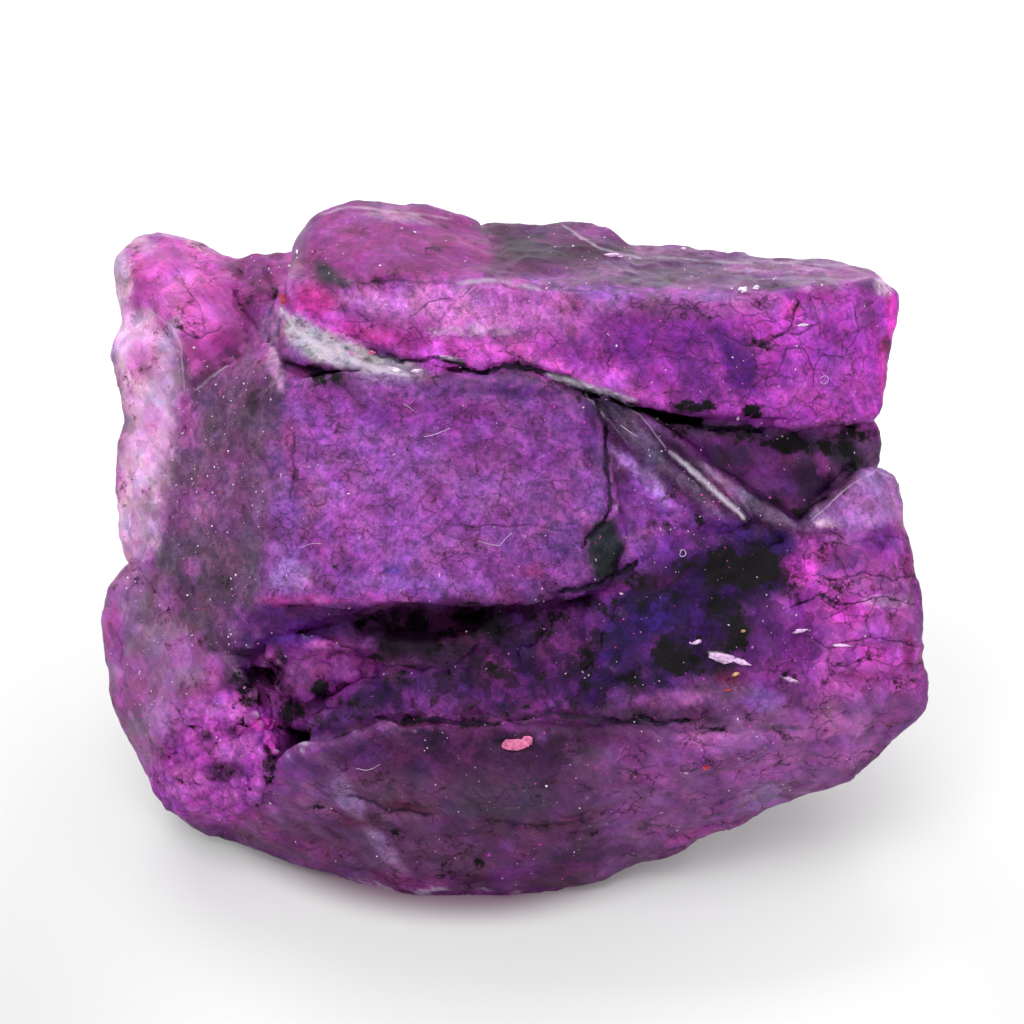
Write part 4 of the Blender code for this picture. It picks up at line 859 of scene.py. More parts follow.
# Strengths in the stone's dye.
GRAIN_TINT = (0.5, 0.8, 0.5)
DRIFT_TINT = (0.85, 1.2, 0.85)
MOSAIC_SWING = 0.12
RIDGE_SWING = 0.34
RIDGE_INK = 0.3
CRACKLE_STRETCH = (0.6, 1.1, 1.4)
CRACKLE_LINE = 0.06
CELL_LINE = 0.035
LINE_DARKNESS = 0.88
SHEEN_STRENGTH = 0.8
SPECKS_COVERED_OUT = 0.85
DULL_ROUGHNESS = 0.5
SHINE_ROUGHNESS = -0.34
CRACK_SIDES = (0.5, 1.3)
GLINT_SIDES = (0.0, 1.35)
GLINT_ROUGHNESS = 0.6
# Bumps of the grain: height in metres and strength. Roughness of the other finishes.
STONE_BUMP = (0.0003, 0.45)
CHIP_BUMP = (0.0001, 0.6)
STONE_SPECULAR = 0.09
STONE_IOR = 1.5
CHIP_ROUGHNESS = 0.4
DUST_ROUGHNESS = 0.5
FLOOR_ROUGHNESS = 0.8

# The floor, in metres: painted light and shade along ramps, a painted glow that lifts its shadows, the
# ellipse that the stone stands on, and its shade.
FLOOR_WIDTH = 3.0
FLOOR_PAINTED_GLOW = 0.2
FLOOR_DEPTH = (-0.1, 0.06, 0.37, 0.57)
FLOOR_FAR_OFF = (0.12, 0.5, 0.0, 0.26)
FLOOR_LEFT = (-0.04, -0.015, -0.12, 0.0)
FLOOR_RIGHT = (0.026, 0.042, 0.0, -0.08)
FLOOR_BESIDE = (0.02, 0.065, 1.0, 0.0)
FLOOR_BEFORE = (-0.012, 0.008, 0.05, 0.0)
FLOOR_BEFORE_RIGHT = (0.0, 0.028)
FOOT_FADE = (1.0, 1.3, 1.0, 0.0)
FOOT_FRONT = (-0.02, -0.008, 1.0, 0.4)
FOOT_RIGHT = (0.0, 0.01, 1.0, 0.5)
FOOT_MIDDLE = (-0.003, -0.005, 0.0)
FOOT_REACH = (0.0174, 0.0146, 1.0)
FOOT_SHADE = (0.3, 0.2, 0.26, 1.0)
WHITE = (1.0, 1.0, 1.0, 1.0)

# Lamps: name, place in metres, width and power; and the light of the room itself.
LAMPS = (
    ("wide_window_behind", (-0.1, 0.5, 0.55), 0.5, 4.8),
    ("ceiling_before", (-0.12, -0.3, 0.7), 0.5, 4.1),
)
LAMPS_AIM = (0.0, 0.0, 0.02)
ROOM_LIGHT = 0.92

# How much of a paint's red, green and blue the dye keeps in this light.
DYE_DEPTH = np.array([0.71, 0.61, 0.73])

# Paints, as red, green and blue from 0 to 255.
PAINTS = {
    "purple": (132, 46, 142),
    "purple_dark": (104, 34, 118),
    "magenta": (194, 84, 184),
    "hot_magenta": (204, 70, 190),
    "deep_magenta": (116, 28, 90),
    "rose_red": (196, 50, 140),
    "red_sliver": (165, 28, 76),
    "deep_rose": (152, 54, 120),
    "orchid": (166, 62, 168),
    "orchid_light": (188, 86, 190),
    "hot_orchid": (182, 76, 182),
    "bright_orchid": (212, 112, 208),
    "fuchsia": (158, 72, 154),
    "pink": (198, 88, 176),
    "bright_pink": (224, 116, 202),
    "hot_pink": (236, 64, 192),
    "soft_pink": (210, 170, 200),
    "pale_pink": (222, 202, 214),
    "blush": (188, 100, 186),
    "blush_light": (214, 138, 208),
    "rose": (170, 66, 152),
    "rose_mauve": (150, 66, 140),
    "rosy_mauve": (164, 94, 160),
    "ash_pink": (160, 116, 158),
    "reflection_white": (208, 208, 212),
    "sheen_lilac": (178, 160, 188),
    "lilac": (170, 116, 182),
    "lilac_dark": (146, 80, 160),
    "lavender": (146, 102, 186),
    "pale_lavender": (180, 136, 206),
    "lavender_dark": (108, 76, 148),
    "lavender_grey": (132, 112, 144),
    "mauve": (146, 78, 160),
    "mauve_light": (164, 92, 182),
    "mauve_grey": (120, 71, 122),
    "heather": (143, 108, 142),
    "heather_dark": (80, 49, 77),
    "plum": (100, 34, 92),
    "plum_violet": (104, 50, 122),
    "night_plum": (58, 26, 62),
    "violet": (66, 14, 98),
    "dark_violet": (74, 30, 88),
    "blue_violet": (58, 28, 112),
    "blue": (56, 48, 150),
    "indigo": (44, 16, 80),
    "dusk": (74, 34, 90),
    "slate": (106, 74, 104),
    "smoke": (86, 36, 78),
    "smoke_dark": (52, 32, 54),
    "ash": (128, 94, 130),
    "grey_plum": (82, 50, 86),
    "glass_grey": (86, 36, 96),
    "glass_plum": (78, 30, 88),
    "green_grey": (74, 66, 80),
    "green_ink": (36, 42, 46),
    "ink_violet": (32, 20, 42),
    "ink_and_shade": (14, 10, 15),
    "chalk": (238, 232, 238),
    "fibre": (206, 192, 212),
    "pale_lilac": (226, 196, 226),
    "pale_salmon": (222, 118, 158),
    "grain_red": (176, 44, 60),
    "grain_ochre": (206, 168, 110),
    "wine": (108, 22, 60),
    "wine_dark": (66, 22, 46),
}


def scrambled(numbers):
    """Whole numbers mixed up, so that neighbours come out unlike each other."""
    mixed = numbers.astype(np.uint32)
    mixed ^= mixed >> np.uint32(16)
    mixed *= np.uint32(0x7FEB352D)
    mixed ^= mixed >> np.uint32(15)
    mixed *= np.uint32(0x846CA68B)
    mixed ^= mixed >> np.uint32(16)
    return mixed


def cell_chance(cells, seed):
    """A repeatable number from 0 to 1 for each cell of a grid."""
    mixed = scrambled(cells[:, 2].astype(np.int64) + seed * 7919)
    mixed = scrambled(cells[:, 1].astype(np.int64) + mixed)
    mixed = scrambled(cells[:, 0].astype(np.int64) + mixed)
    return mixed / 4294967296.0


def soft_noise(points, size, seed):
    """Smooth noise from -1 to 1, whose bumps are about the size apart."""
    scaled = points / size
    corner = np.floor(scaled)
    share = scaled - corner
    share = share * share * share * (share * (share * 6 - 15) + 10)
    total = np.zeros(len(points))
    for across in (0, 1):
        for along in (0, 1):
            for up in (0, 1):
                step = np.array([across, along, up])
                weight = np.prod(np.where(step == 1, share, 1 - share), axis=1)
                total += weight * cell_chance(corner + step, seed)
    return total * 2 - 1


NOISE_TURN = np.array(Matrix.Rotation(0.9, 3, Vector((1.0, 2.0, 3.0)).normalized()))


def layered_noise(points, size, seed, layers=4):
    """Noise from about -1 to 1 with finer and fainter layers on a first one of the size."""
    total = np.zeros(len(points))
    strength = 1.0
    for layer in range(layers):
        points = points @ NOISE_TURN
        total += strength * soft_noise(points, size, seed + layer)
        size *= 0.47
        strength *= 0.55
    return total / 1.6


def grains(points, size, seed):
    """How far each point is from the nearest grain's middle and the next one's, and its grain's chance."""
    scaled = points / size
    corner = np.floor(scaled)
    nearest = np.full(len(points), 9.0)
    second = np.full(len(points), 9.0)
    chance = np.zeros(len(points))
    for across in (-1, 0, 1):
        for along in (-1, 0, 1):
            for up in (-1, 0, 1):
                cell = corner + np.array([across, along, up])
                jitter = np.stack([cell_chance(cell, seed + axis) for axis in range(3)], axis=1)
                way = cell + jitter - scaled
                distance = np.sqrt((way * way).sum(axis=1))
                closer = distance < nearest
                second = np.where(closer, nearest, np.minimum(second, distance))
                nearest = np.where(closer, distance, nearest)
                chance[closer] = jitter[closer, 0]
    return nearest * size, second * size, chance


def smooth_step(low, high, value):
    """0 below the low value, 1 above the high one, and a smooth climb between."""
    share = np.clip((value - low) / (high - low), 0.0, 1.0)
    return share * share * (3 - 2 * share)


def partly(strength, low, high, value):
    """A smooth step that climbs only to a strength."""
    return strength * smooth_step(low, high, value)


def read_points(mesh):
    """The vertices' places in millimetres."""
    values = np.empty(len(mesh.vertices) * 3)
    mesh.vertices.foreach_get("co", values)
    return values.reshape(-1, 3) / MM


def write_points(mesh, points):
    mesh.vertices.foreach_set("co", (points * MM).ravel())
    mesh.update()


def read_normals(mesh):
    values = np.empty(len(mesh.vertices) * 3)
    mesh.vertex_normals.foreach_get("vector", values)
    return values.reshape(-1, 3)


def read_edges(mesh):
    ends = np.empty(len(mesh.edges) * 2, dtype=np.int64)
    mesh.edges.foreach_get("vertices", ends)
    return ends.reshape(-1, 2)


def spread_out(values, edges, rounds, share=0.5):
    """Values at the vertices, each drawn towards the mean of its neighbours', round after round."""
    count = len(values)
    ends = np.concatenate([edges[:, 0], edges[:, 1]])
    others = np.concatenate([edges[:, 1], edges[:, 0]])
    neighbours = np.maximum(np.bincount(ends, minlength=count), 1)
    columns = values.reshape(count, -1).copy()
    for _ in range(rounds):
        for column in range(columns.shape[1]):
            mean = np.bincount(ends, weights=columns[others, column], minlength=count) / neighbours
            columns[:, column] += share * (mean - columns[:, column])
    return columns.reshape(values.shape)


def front_axes():
    """Across, up the lean and out of the stone, as rows."""
    return np.array(Matrix.Rotation(math.pi / 2 - FRONT_LEAN, 3, "X")).T


def front_places(points):
    """Places along the front's axes, from its middle."""
    return (points - FRONT_MIDDLE) @ front_axes().T


def seen_places(front):
    """Front places as they fall on the front's plane, seen from VIEW_DISTANCE."""
    return front[:, :2] * (VIEW_DISTANCE / (VIEW_DISTANCE - front[:, 2]))[:, None]


def distance_to_run(places, run):
    """How far each place is from a run of straight stretches, negative on its right, and how far along."""
    closest = np.full(len(places), 1e9)
    progress = np.zeros(len(places))
    for number, (start, end) in enumerate(zip(run[:-1], run[1:])):
        start = np.array(start)
        stretch = np.array(end) - start
        along = np.clip(((places - start) @ stretch) / (stretch @ stretch), 0.0, 1.0)
        away = places - start - along[:, None] * stretch
        left = stretch[0] * away[:, 1] - stretch[1] * away[:, 0] >= 0
        distance = np.where(left, 1.0, -1.0) * np.sqrt((away * away).sum(axis=1))
        closer = np.abs(distance) < np.abs(closest)
        closest[closer] = distance[closer]
        progress[closer] = (number + along[closer]) / (len(run) - 1)
    return closest, progress


def depth_inside(places, outline):
    """How far each place is inside a closed outline, negative outside it."""
    inside = np.zeros(len(places), dtype=bool)
    for (across_a, up_a), (across_b, up_b) in zip(outline, outline[1:] + outline[:1]):
        if up_a == up_b:
            continue
        between = (up_a > places[:, 1]) != (up_b > places[:, 1])
        crossing = across_a + (places[:, 1] - up_a) * (across_b - across_a) / (up_b - up_a)
        inside ^= between & (places[:, 0] < crossing)
    away, _ = distance_to_run(places, outline + outline[:1])
    return np.where(inside, np.abs(away), -np.abs(away))


def linear_paint(name):
    """A paint's colour in linear light, deepened for a bright room."""
    shares = np.array(PAINTS[name]) / 255.0
    return DYE_DEPTH * np.where(shares <= 0.04045, shares / 12.92, ((shares + 0.055) / 1.055) ** 2.4)


def fine_copy(node):
    """The CAD node's surface as a new mesh, merged and remeshed finely and evenly."""
    merged = node.data.copy()
    made = bpy.data.objects.new("stone_surface", merged)
    bpy.context.scene.collection.objects.link(made)
    weld = made.modifiers.new("weld", "WELD")
    weld.merge_threshold = WELD_GAP * MM
    remesh = made.modifiers.new("remesh", "REMESH")
    remesh.mode = "VOXEL"
    remesh.voxel_size = REMESH_SIZE * MM
    apply_modifiers(made)
    return made


def apply_modifiers(made):
    """Turns what the object's modifiers give into its plain mesh."""
    bpy.context.view_layer.update()
    shown = made.evaluated_get(bpy.context.evaluated_depsgraph_get())
    result = bpy.data.meshes.new_from_object(shown)
    made.modifiers.clear()
    made.data = result


def above_base(points):
    """From 0 at the resting face to 1 a little above it."""
    return smooth_step(0.0, BASE_FADE, points[:, 2])


def front_share(front, normals):
    """From 0 to 1, how much a vertex belongs to the leaning front."""
    facing = normals @ front_axes()[2]
    return smooth_step(*FRONT_FACING, facing) * smooth_step(*FRONT_REACH, front[:, 2])


def columns_of_noise(points, pattern, count):
    """A few columns of noise of the same kind, each unlike the others."""
    size, seed, layers = pattern
    seeds = [seed + column * SEED_STEP for column in range(count)]
    return np.stack([layered_noise(points, size, own, layers) for own in seeds], axis=1)


def patches(points, size, seed, layers, start, full):
    """From 0 between patches to 1 in their middles."""
    return smooth_step(start, full, layered_noise(points, size, seed, layers))


def wander(points):
    """Pushes that bend straight edges and flat faces a little."""
    broad = BROAD_PUSH * columns_of_noise(points, BROAD_BEND, 3)
    return broad + SMALL_PUSH * columns_of_noise(points, SMALL_BEND, 3)


def scallops(points, size, seed):
    """Shallow dishes with sharp ridges between them, from 0 in a dish's middle to about 1."""
    nearest, _, _ = grains(points, size, seed)
    return (nearest / size) ** 2


def terraces(points, rise, spacing, seed):
    """Worn steps that climb one way and drop off sharply, from -0.5 to 0.5, broken off here and there."""
    climb = points @ np.array(rise) / spacing + TERRACE_BEND * layered_noise(points, TERRACE_WANDER, seed, 4)
    share = climb - np.floor(climb)
    step = share - smooth_step(*TERRACE_DROP, share)
    return (step - TERRACE_MIDDLE) * patches(points, TERRACE_GAPS, seed + 7, 2, *TERRACE_ENDS)


def crumbs(points, size, seed):
    """Rounded grains standing out from deep seams, as heights from 0 to about 1."""
    nearest, second, chance = grains(points, size, seed)
    seam = smooth_step(0.0, SEAM_WIDTH * size, second - nearest)
    return 0.4 * seam + 0.6 * chance - 0.5 * nearest / size


def run_wobble(points):
    """Sideways pushes that make a drawn run wander and change in width."""
    return RUN_WOBBLE * columns_of_noise(points, RUN_BEND, 2)


def lay_of(points, normals):
    """Where each vertex is on the front: seen place, and how much it belongs to the front."""
    front = front_places(points)
    return seen_places(front), front_share(front, normals)


def near_outline(seen, share, outline, margin):
    """Whether each seen place is on the front and near the box round an outline."""
    low, high = np.min(outline, axis=0) - margin, np.max(outline, axis=0) + margin
    return (share > 0) & ((seen > low) & (seen < high)).all(axis=1)


def area_weight(seen, share, outline, softness, wobble):
    """1 inside an outline on the front, fading to 0 over its soft edge."""
    weight = np.zeros(len(seen))
    near = near_outline(seen, share, outline, softness + 2.0)
    inside = depth_inside(seen[near], outline) + wobble[near]
    weight[near] = smooth_step(-softness, softness, inside) * share[near]
    return weight


def thickness_along(progress):
    """From 0 at both ends of a line to 1 at its middle."""
    return np.sqrt(np.clip(4 * progress * (1 - progress), 0.0, 1.0))


def line_weight(seen, share, run, half_width, wobble):
    """1 along a run of straight stretches, fading to 0 at its sides and thinning to its ends."""
    weight = np.zeros(len(seen))
    near = near_outline(seen, share, run, half_width * 3 + 1.0)
    away, progress = distance_to_run(seen[near] + wobble[near], run)
    taper = GROOVE_END + (1 - GROOVE_END) * thickness_along(progress)
    width = half_width * taper * (1 + GROOVE_CHANGE * wobble[near, 0] / RUN_WOBBLE)
    full, gone = GROOVE_SIDES
    weight[near] = (1 - smooth_step(width * full, width * gone, np.abs(away))) * share[near]
    return weight


def trace_lines(seen, share, lines, wobble):
    """Where thin lines run: how many half widths each vertex lies from the nearest line's middle,
    negative on its right, and how strong that line is there."""
    offset = np.full(len(seen), FAR_OFF)
    strength = np.zeros(len(seen))
    for half_width, line_strength, run in lines:
        near = np.flatnonzero(near_outline(seen, share, run, 2.0))
        away, progress = distance_to_run(seen[near] + wobble[near], run)
        ends = thickness_along(progress)
        halves = away / (half_width * (TRACED_END + (1 - TRACED_END) * ends))
        closer = np.abs(halves) < np.abs(offset[near])
        nearer = near[closer]
        offset[nearer] = halves[closer]
        fade = 1 - smooth_step(*TRACED_FADE, np.abs(away[closer]) - half_width)
        strength[nearer] = line_strength * np.minimum(1.0, 3 * ends[closer]) * fade * share[nearer]
    return offset, strength


def dab_weight(seen, share, wobble, across, up, reach_across, reach_up, turn=0):
    """A soft round or oval dab."""
    away = seen - np.array([across, up])
    cosine, sine = math.cos(math.radians(turn)), math.sin(math.radians(turn))
    along = (away[:, 0] * cosine + away[:, 1] * sine) / reach_across
    aside = (away[:, 1] * cosine - away[:, 0] * sine) / reach_up
    distance = np.sqrt(along * along + aside * aside)
    return (1 - smooth_step(*DAB_EDGE, distance + wobble)) * share


def all_round_looks(points):
    """The look of the stone where no area of the front is painted."""
    rows = np.tile(np.array(ALL_ROUND_LOOK, dtype=float), (len(points), 1))
    rows[:, CRACKLE] += CRACKLE_CHANGE * layered_noise(points, *CRACKLE_DRIFT)
    for look, strength, pattern in ALL_ROUND_PATCHES:
        rows[:, look] += strength * patches(points, *pattern)
    return np.clip(rows, 0.0, 1.0)


def find_looks(points, seen, share):
    """How each vertex looks, as a row of shares in the order of LOOK_NAMES."""
    rows = all_round_looks(points)
    wobble = LOOK_STRAY * layered_noise(points, *LOOK_BEND)
    for name, _, softness, strength, outline in FRONT_AREAS:
        weight = area_weight(seen, share, outline, softness, wobble) * strength
        rows += weight[:, None] * (np.array(AREA_LOOKS[name], dtype=float) - rows)
    return rows


def wear_down(points, normals, eased, start, full, share):
    """Draws what juts out of the eased surface back to it, in part."""
    jutting = -((eased - points) * normals).sum(axis=1)
    drawn = share * smooth_step(start, full, jutting) * above_base(points)
    return points + drawn[:, None] * (eased - points)


def bend_surface(mesh, points, edges):
    """Wears odd juts off the smooth solid and bends its straight edges, and gives the new points."""
    normals = read_normals(mesh)
    eased = spread_out(points, edges, JUT_ROUNDS)
    points = wear_down(points, normals, eased, *WORN_JUTS)
    hidden = 1 - front_share(front_places(points), normals)
    eased = spread_out(eased, edges, BROAD_ROUNDS)
    points = wear_down(points, normals, eased, *WORN_BULGES, BULGE_SHARE * hidden)
    points += wander(points) * above_base(points)[:, None]
    write_points(mesh, points)
    return points


def break_height(points, normals, edges):
    """How far the breaks, chips, crumbs and grooves push each vertex out."""
    seen, share = lay_of(points, normals)
    looks = find_looks(points, seen, share)
    rugged = looks[:, RUGGED]
    bends = [soft_noise(points, BREAK_BEND_SIZE, BREAK_BEND_SEED + axis) for axis in range(3)]
    bent = points + BREAK_BEND * np.stack(bends, axis=1)
    chipped = smooth_step(*CHIPPED_EDGES, -hollowness(points, normals, edges, CHIP_ROUNDS, 0.5))
    height = SWELLING - chipped * (CHIP_DEPTH + CHIP_DEPTH_IN_PATCHES * patches(points, *EDGE_CHIPS))
    for calm, more, size, seed in DISHES:
        height += (calm + more * rugged) * (scallops(bent, size, seed) - DISH_MIDDLE)
    grainy = GRAIN_ON_CALM + GRAIN_ON_RUGGED * rugged
    height += grainy * GRAIN_HEIGHT * layered_noise(points, *GRAIN_BUMPS)
    for look, step, rise, spacing, seed in TERRACES:
        height += looks[:, look] * step * terraces(bent, rise, spacing, seed)
    height += looks[:, SUGAR] * SUGAR_HEIGHT * (crumbs(bent, SUGAR_SIZE, SUGAR_SEED) - SUGAR_MIDDLE)
    wobble = run_wobble(points)
    for _, half_width, depth, _, run in FRONT_GROOVES:
        height -= depth * line_weight(seen, share, run, half_width, wobble)
    for _, half_width, strength, run in FRONT_PALE_LINES:
        height += PALE_LINE_HEIGHT * strength * line_weight(seen, share, run, half_width, wobble)
    return height * above_base(points)


def break_surface(made):
    """Gives the smooth stone its dished breaks, chipped edges, crumbs, grooves and grain."""
    mesh = made.data
    edges = read_edges(mesh)
    points = spread_out(read_points(mesh), edges, FINE_ROUNDS)
    flat_base = points[:, 2] < BASE_HEIGHT
    write_points(mesh, points)
    points = bend_surface(mesh, points, edges)
    normals = read_normals(mesh)
    points += normals * break_height(points, normals, edges)[:, None]
    low, high = np.array(CAD_BOX[0]) / MM, np.array(CAD_BOX[1]) / MM
    points = np.clip(points, low - BOX_SPARE, high + BOX_SPARE)
    points[:, 2] = np.maximum(points[:, 2], 0.0)
    points[flat_base, 2] = 0.0
    write_points(mesh, points)


def near_lines(seen, share):
    """Whether each vertex is close to a crack or a glint, whose line needs a fine mesh."""
    near = np.zeros(len(seen), dtype=bool)
    for _, half_width, *_, run in FRONT_GROOVES + FRONT_PALE_LINES:
        close = np.flatnonzero(near_outline(seen, share, run, 1.5))
        away, _ = distance_to_run(seen[close], run)
        near[close] |= np.abs(away) < half_width + LINE_MARGIN
    return near


def thin_out(made):
    """Brings the surface under the triangle limit, keeping the mesh fine along the lines."""
    seen, share = lay_of(read_points(made.data), read_normals(made.data))
    elsewhere = made.vertex_groups.new(name="elsewhere")
    elsewhere.add(np.flatnonzero(~near_lines(seen, share)).tolist(), 1.0, "REPLACE")
    triangles = sum(len(face.vertices) - 2 for face in made.data.polygons)
    thin = made.modifiers.new("thin", "DECIMATE")
    thin.ratio = min(1.0, TRIANGLE_LIMIT / triangles)
    thin.vertex_group = "elsewhere"
    apply_modifiers(made)
    made.vertex_groups.clear()
    mesh = made.data
    mesh.shade_smooth()
    mesh.set_sharp_from_angle(angle=SHARP_ANGLE)


def write_value(mesh, name, values):
    layer = mesh.attributes.new(name, "FLOAT", "POINT")
    layer.data.foreach_set("value", values.astype(np.float32))


def write_colour(mesh, name, colours):
    layer = mesh.attributes.new(name, "FLOAT_COLOR", "POINT")
    solid = np.ones((len(colours), 4), dtype=np.float32)
    solid[:, :3] = colours
    layer.data.foreach_set("color", solid.ravel())


def hollowness(points, normals, edges, rounds, full):
    """From -1 on sharp outer edges to 1 in creases, felt over a reach set by the rounds."""
    eased = spread_out(points, edges, rounds)
    return np.clip(((eased - points) * normals).sum(axis=1) / full, -1.0, 1.0)


def blend_in(colours, paint, weight):
    """Lays a paint over the colours, as thickly as the weight says."""
    colours += weight[:, None] * (linear_paint(paint) - colours)


def patch_in(dye, points, paints):
    """Lays patches of each paint on the dye, one after the other."""
    for paint, strength, pattern in paints:
        blend_in(dye, paint, strength * patches(points, *pattern))


def all_round_dye(points, normals):
    """Dye in drifting patches of magenta, purple, violet and greyed mauve, with a painted sheen on upward
    faces and painted shade on downward faces.
    """
    dye = np.tile(linear_paint("purple"), (len(points), 1))
    patch_in(dye, points, ALL_ROUND_DYE)
    # Painted sheen: upward faces greyed towards ash. Painted shade: downward faces darkened towards night
    # plum.
    upward = normals[:, 2]
    blend_in(dye, "ash", partly(*TOP_SHEEN, upward + TOP_SHEEN_STRAY * layered_noise(points, *TOP_SHEEN_DRIFT)))
    blend_in(dye, "night_plum", partly(*UNDERSIDE_SHADE, -upward))
    return dye


def cover(share, more):
    """Two shares of cover put together."""
    return 1 - (1 - share) * (1 - np.clip(more, 0.0, 1.0))


def broad_normals(mesh, points, edges):
    """The surface's directions, without its finest bumps."""
    write_points(mesh, spread_out(points, edges, FINE_ROUNDS))
    normals = read_normals(mesh)
    write_points(mesh, points)
    return normals


def paint_areas(dye, seen, share, wobble):
    """Lays the front's areas on the dye, and deepens or thins it there."""
    depth = np.ones(len(dye))
    for name, paint, softness, strength, outline in FRONT_AREAS:
        weight = area_weight(seen, share, outline, softness * AREA_BLUR, wobble)
        blend_in(dye, paint, weight * strength)
        depth += weight * (AREA_FINISHES[name][0] - depth)
    return depth


def paint_or_cover(dye, ink_and_shade, paint, weight):
    """Lays a paint on the dye, or adds to the dark cover of ink and painted shade."""
    if paint == "ink_and_shade":
        return cover(ink_and_shade, weight)
    blend_in(dye, paint, weight)
    return ink_and_shade


def dye_front_and_back(points, normals, edges, seen, share, wobble):
    """The stone's dye, how much ink and painted shade in creases and hollows cover it, and where the painted
    highlight on its sharp edges lies.
    """
    dye = all_round_dye(points, normals)
    depth = paint_areas(dye, seen, share, wobble)
    ragged = DAB_STRAY * layered_noise(points, *DAB_BEND)
    ink_and_shade = BACK_INK * patches(points, *INK_PATCHES) * (1 - share)
    for dabs in FRONT_DABS.values():
        for paint, strength, *place in dabs:
            weight = dab_weight(seen, share, ragged, *place) * strength
            ink_and_shade = paint_or_cover(dye, ink_and_shade, paint, weight)
    dye *= depth[:, None]
    dye *= (1 + DEPTH_CHANGE * layered_noise(points, *DEPTH_DRIFT))[:, None]
    patch_in(dye, points, SMALL_DYE)
    crease = hollowness(points, normals, edges, CREASE_ROUNDS, CREASE_FULL)
    deep = hollowness(points, normals, edges, DEEP_ROUNDS, DEEP_FULL)
    # Painted highlight: sharp outer edges, in patches, made paler towards lilac.
    lit_edges = smooth_step(*HIGHLIGHTED_EDGES, -crease) * patches(points, *EDGE_HIGHLIGHT_PATCHES)
    blend_in(dye, "lilac", lit_edges * EDGE_HIGHLIGHT_PALENESS)
    # Painted shade: creases and deep hollows darkened under the dark cover.
    ink_and_shade = cover(ink_and_shade, partly(*CREASE_SHADE, crease))
    ink_and_shade = cover(ink_and_shade, partly(*DEEP_SHADE, deep))
    return dye, ink_and_shade, lit_edges


def write_lines(mesh, seen, share, fine):
    """Writes where the cracks and the pale glints run, for the material to draw them sharply."""
    cracks = [(CRACK_WIDTH * half_width, darkness, run) for _, half_width, _, darkness, run in FRONT_GROOVES]
    glints = [(half_width, strength, run) for _, half_width, strength, run in FRONT_PALE_LINES]
    for name, lines, wobble in (("crack", cracks, fine), ("glint", glints, GLINT_STRAY * fine)):
        offset, strength = trace_lines(seen, share, lines, wobble)
        write_value(mesh, name, strength)
        write_value(mesh, name + "_offset", offset)


def write_dust_and_grit(mesh, points, normals, seen, share, wobble):
    """Writes how much dust lies on the stone and how strong its fine grain is."""
    dust = ALL_ROUND_DUST * smooth_step(*DUST_FACING_UP, normals[:, 2]) * above_base(points)
    grit = np.full(len(points), ALL_ROUND_GRIT)
    for name, _, softness, _, outline in FRONT_AREAS:
        weight = area_weight(seen, share, outline, softness, wobble)
        _, area_grit, area_dust = AREA_FINISHES[name]
        dust += weight * (area_dust - dust)
        grit += weight * (area_grit - grit)
    dust *= DUST_BETWEEN_DRIFTS + DUST_IN_DRIFTS * patches(points, *DUST_DRIFTS)
    write_value(mesh, "dust", dust)
    write_value(mesh, "grit", grit)


def dye_stone(made):
    """Writes the dye, the dark cover of ink and painted shade, and the looks to the mesh, for the material to
    read.
    """
    mesh = made.data
    points = read_points(mesh)
    edges = read_edges(mesh)
    normals = broad_normals(mesh, points, edges)
    seen, share = lay_of(points, normals)
    looks = np.clip(find_looks(points, seen, share), 0.0, 1.0)
    wobble = AREA_STRAY * layered_noise(points, *AREA_BEND)
    dye, ink_and_shade, lit_edges = dye_front_and_back(points, normals, edges, seen, share, wobble)
    fine = run_wobble(points)
    for _, half_width, _, darkness, run in FRONT_GROOVES:
        weight = line_weight(seen, share, run, half_width * GROOVE_INK_WIDTH, fine)
        ink_and_shade = cover(ink_and_shade, GROOVE_INK * darkness * weight)
    for _, paint, softness, strength, outline in FRONT_DARK_PLACES:
        weight = area_weight(seen, share, outline, softness * AREA_BLUR, wobble * DARK_PLACE_STRAY) * strength
        ink_and_shade = paint_or_cover(dye, ink_and_shade, paint, weight)
    # The painted highlight on edges also raises the painted sheen.
    looks[:, SHEEN] = np.maximum(looks[:, SHEEN], 0.5 * lit_edges)
    write_colour(mesh, "dye", np.clip(dye, 0.0, 1.0))
    write_value(mesh, "ink_and_shade", ink_and_shade)
    write_lines(mesh, seen, share, fine)
    for column, name in enumerate(LOOK_NAMES):
        write_value(mesh, name, looks[:, column])
    write_dust_and_grit(mesh, points, normals, seen, share, wobble)


class Tree:
    """A tree of nodes, with short ways to add more that are joined up already."""

    def __init__(self, tree):
        self.tree = tree

    def add(self, kind, inputs=None, **settings):
        node = self.tree.nodes.new(kind)
        for setting, value in settings.items():
            setattr(node, setting, value)
        for socket, value in (inputs or {}).items():
            if isinstance(value, bpy.types.NodeSocket):
                self.tree.links.new(value, node.inputs[socket])
            else:
                node.inputs[socket].default_value = value
        return node

    def work_out(self, operation, first, second=0.0, clamp=False):
        made = self.add("ShaderNodeMath", {0: first, 1: second}, operation=operation, use_clamp=clamp)
        return made.outputs[0]

    def vector(self, operation, first, second):
        return self.add("ShaderNodeVectorMath", {0: first, 1: second}, operation=operation).outputs[0]

    def length(self, vector):
        return self.add("ShaderNodeVectorMath", {0: vector}, operation="LENGTH").outputs["Value"]

    def scaled(self, vector, scale):
        return self.add("ShaderNodeVectorMath", {0: vector, "Scale": scale}, operation="SCALE").outputs[0]


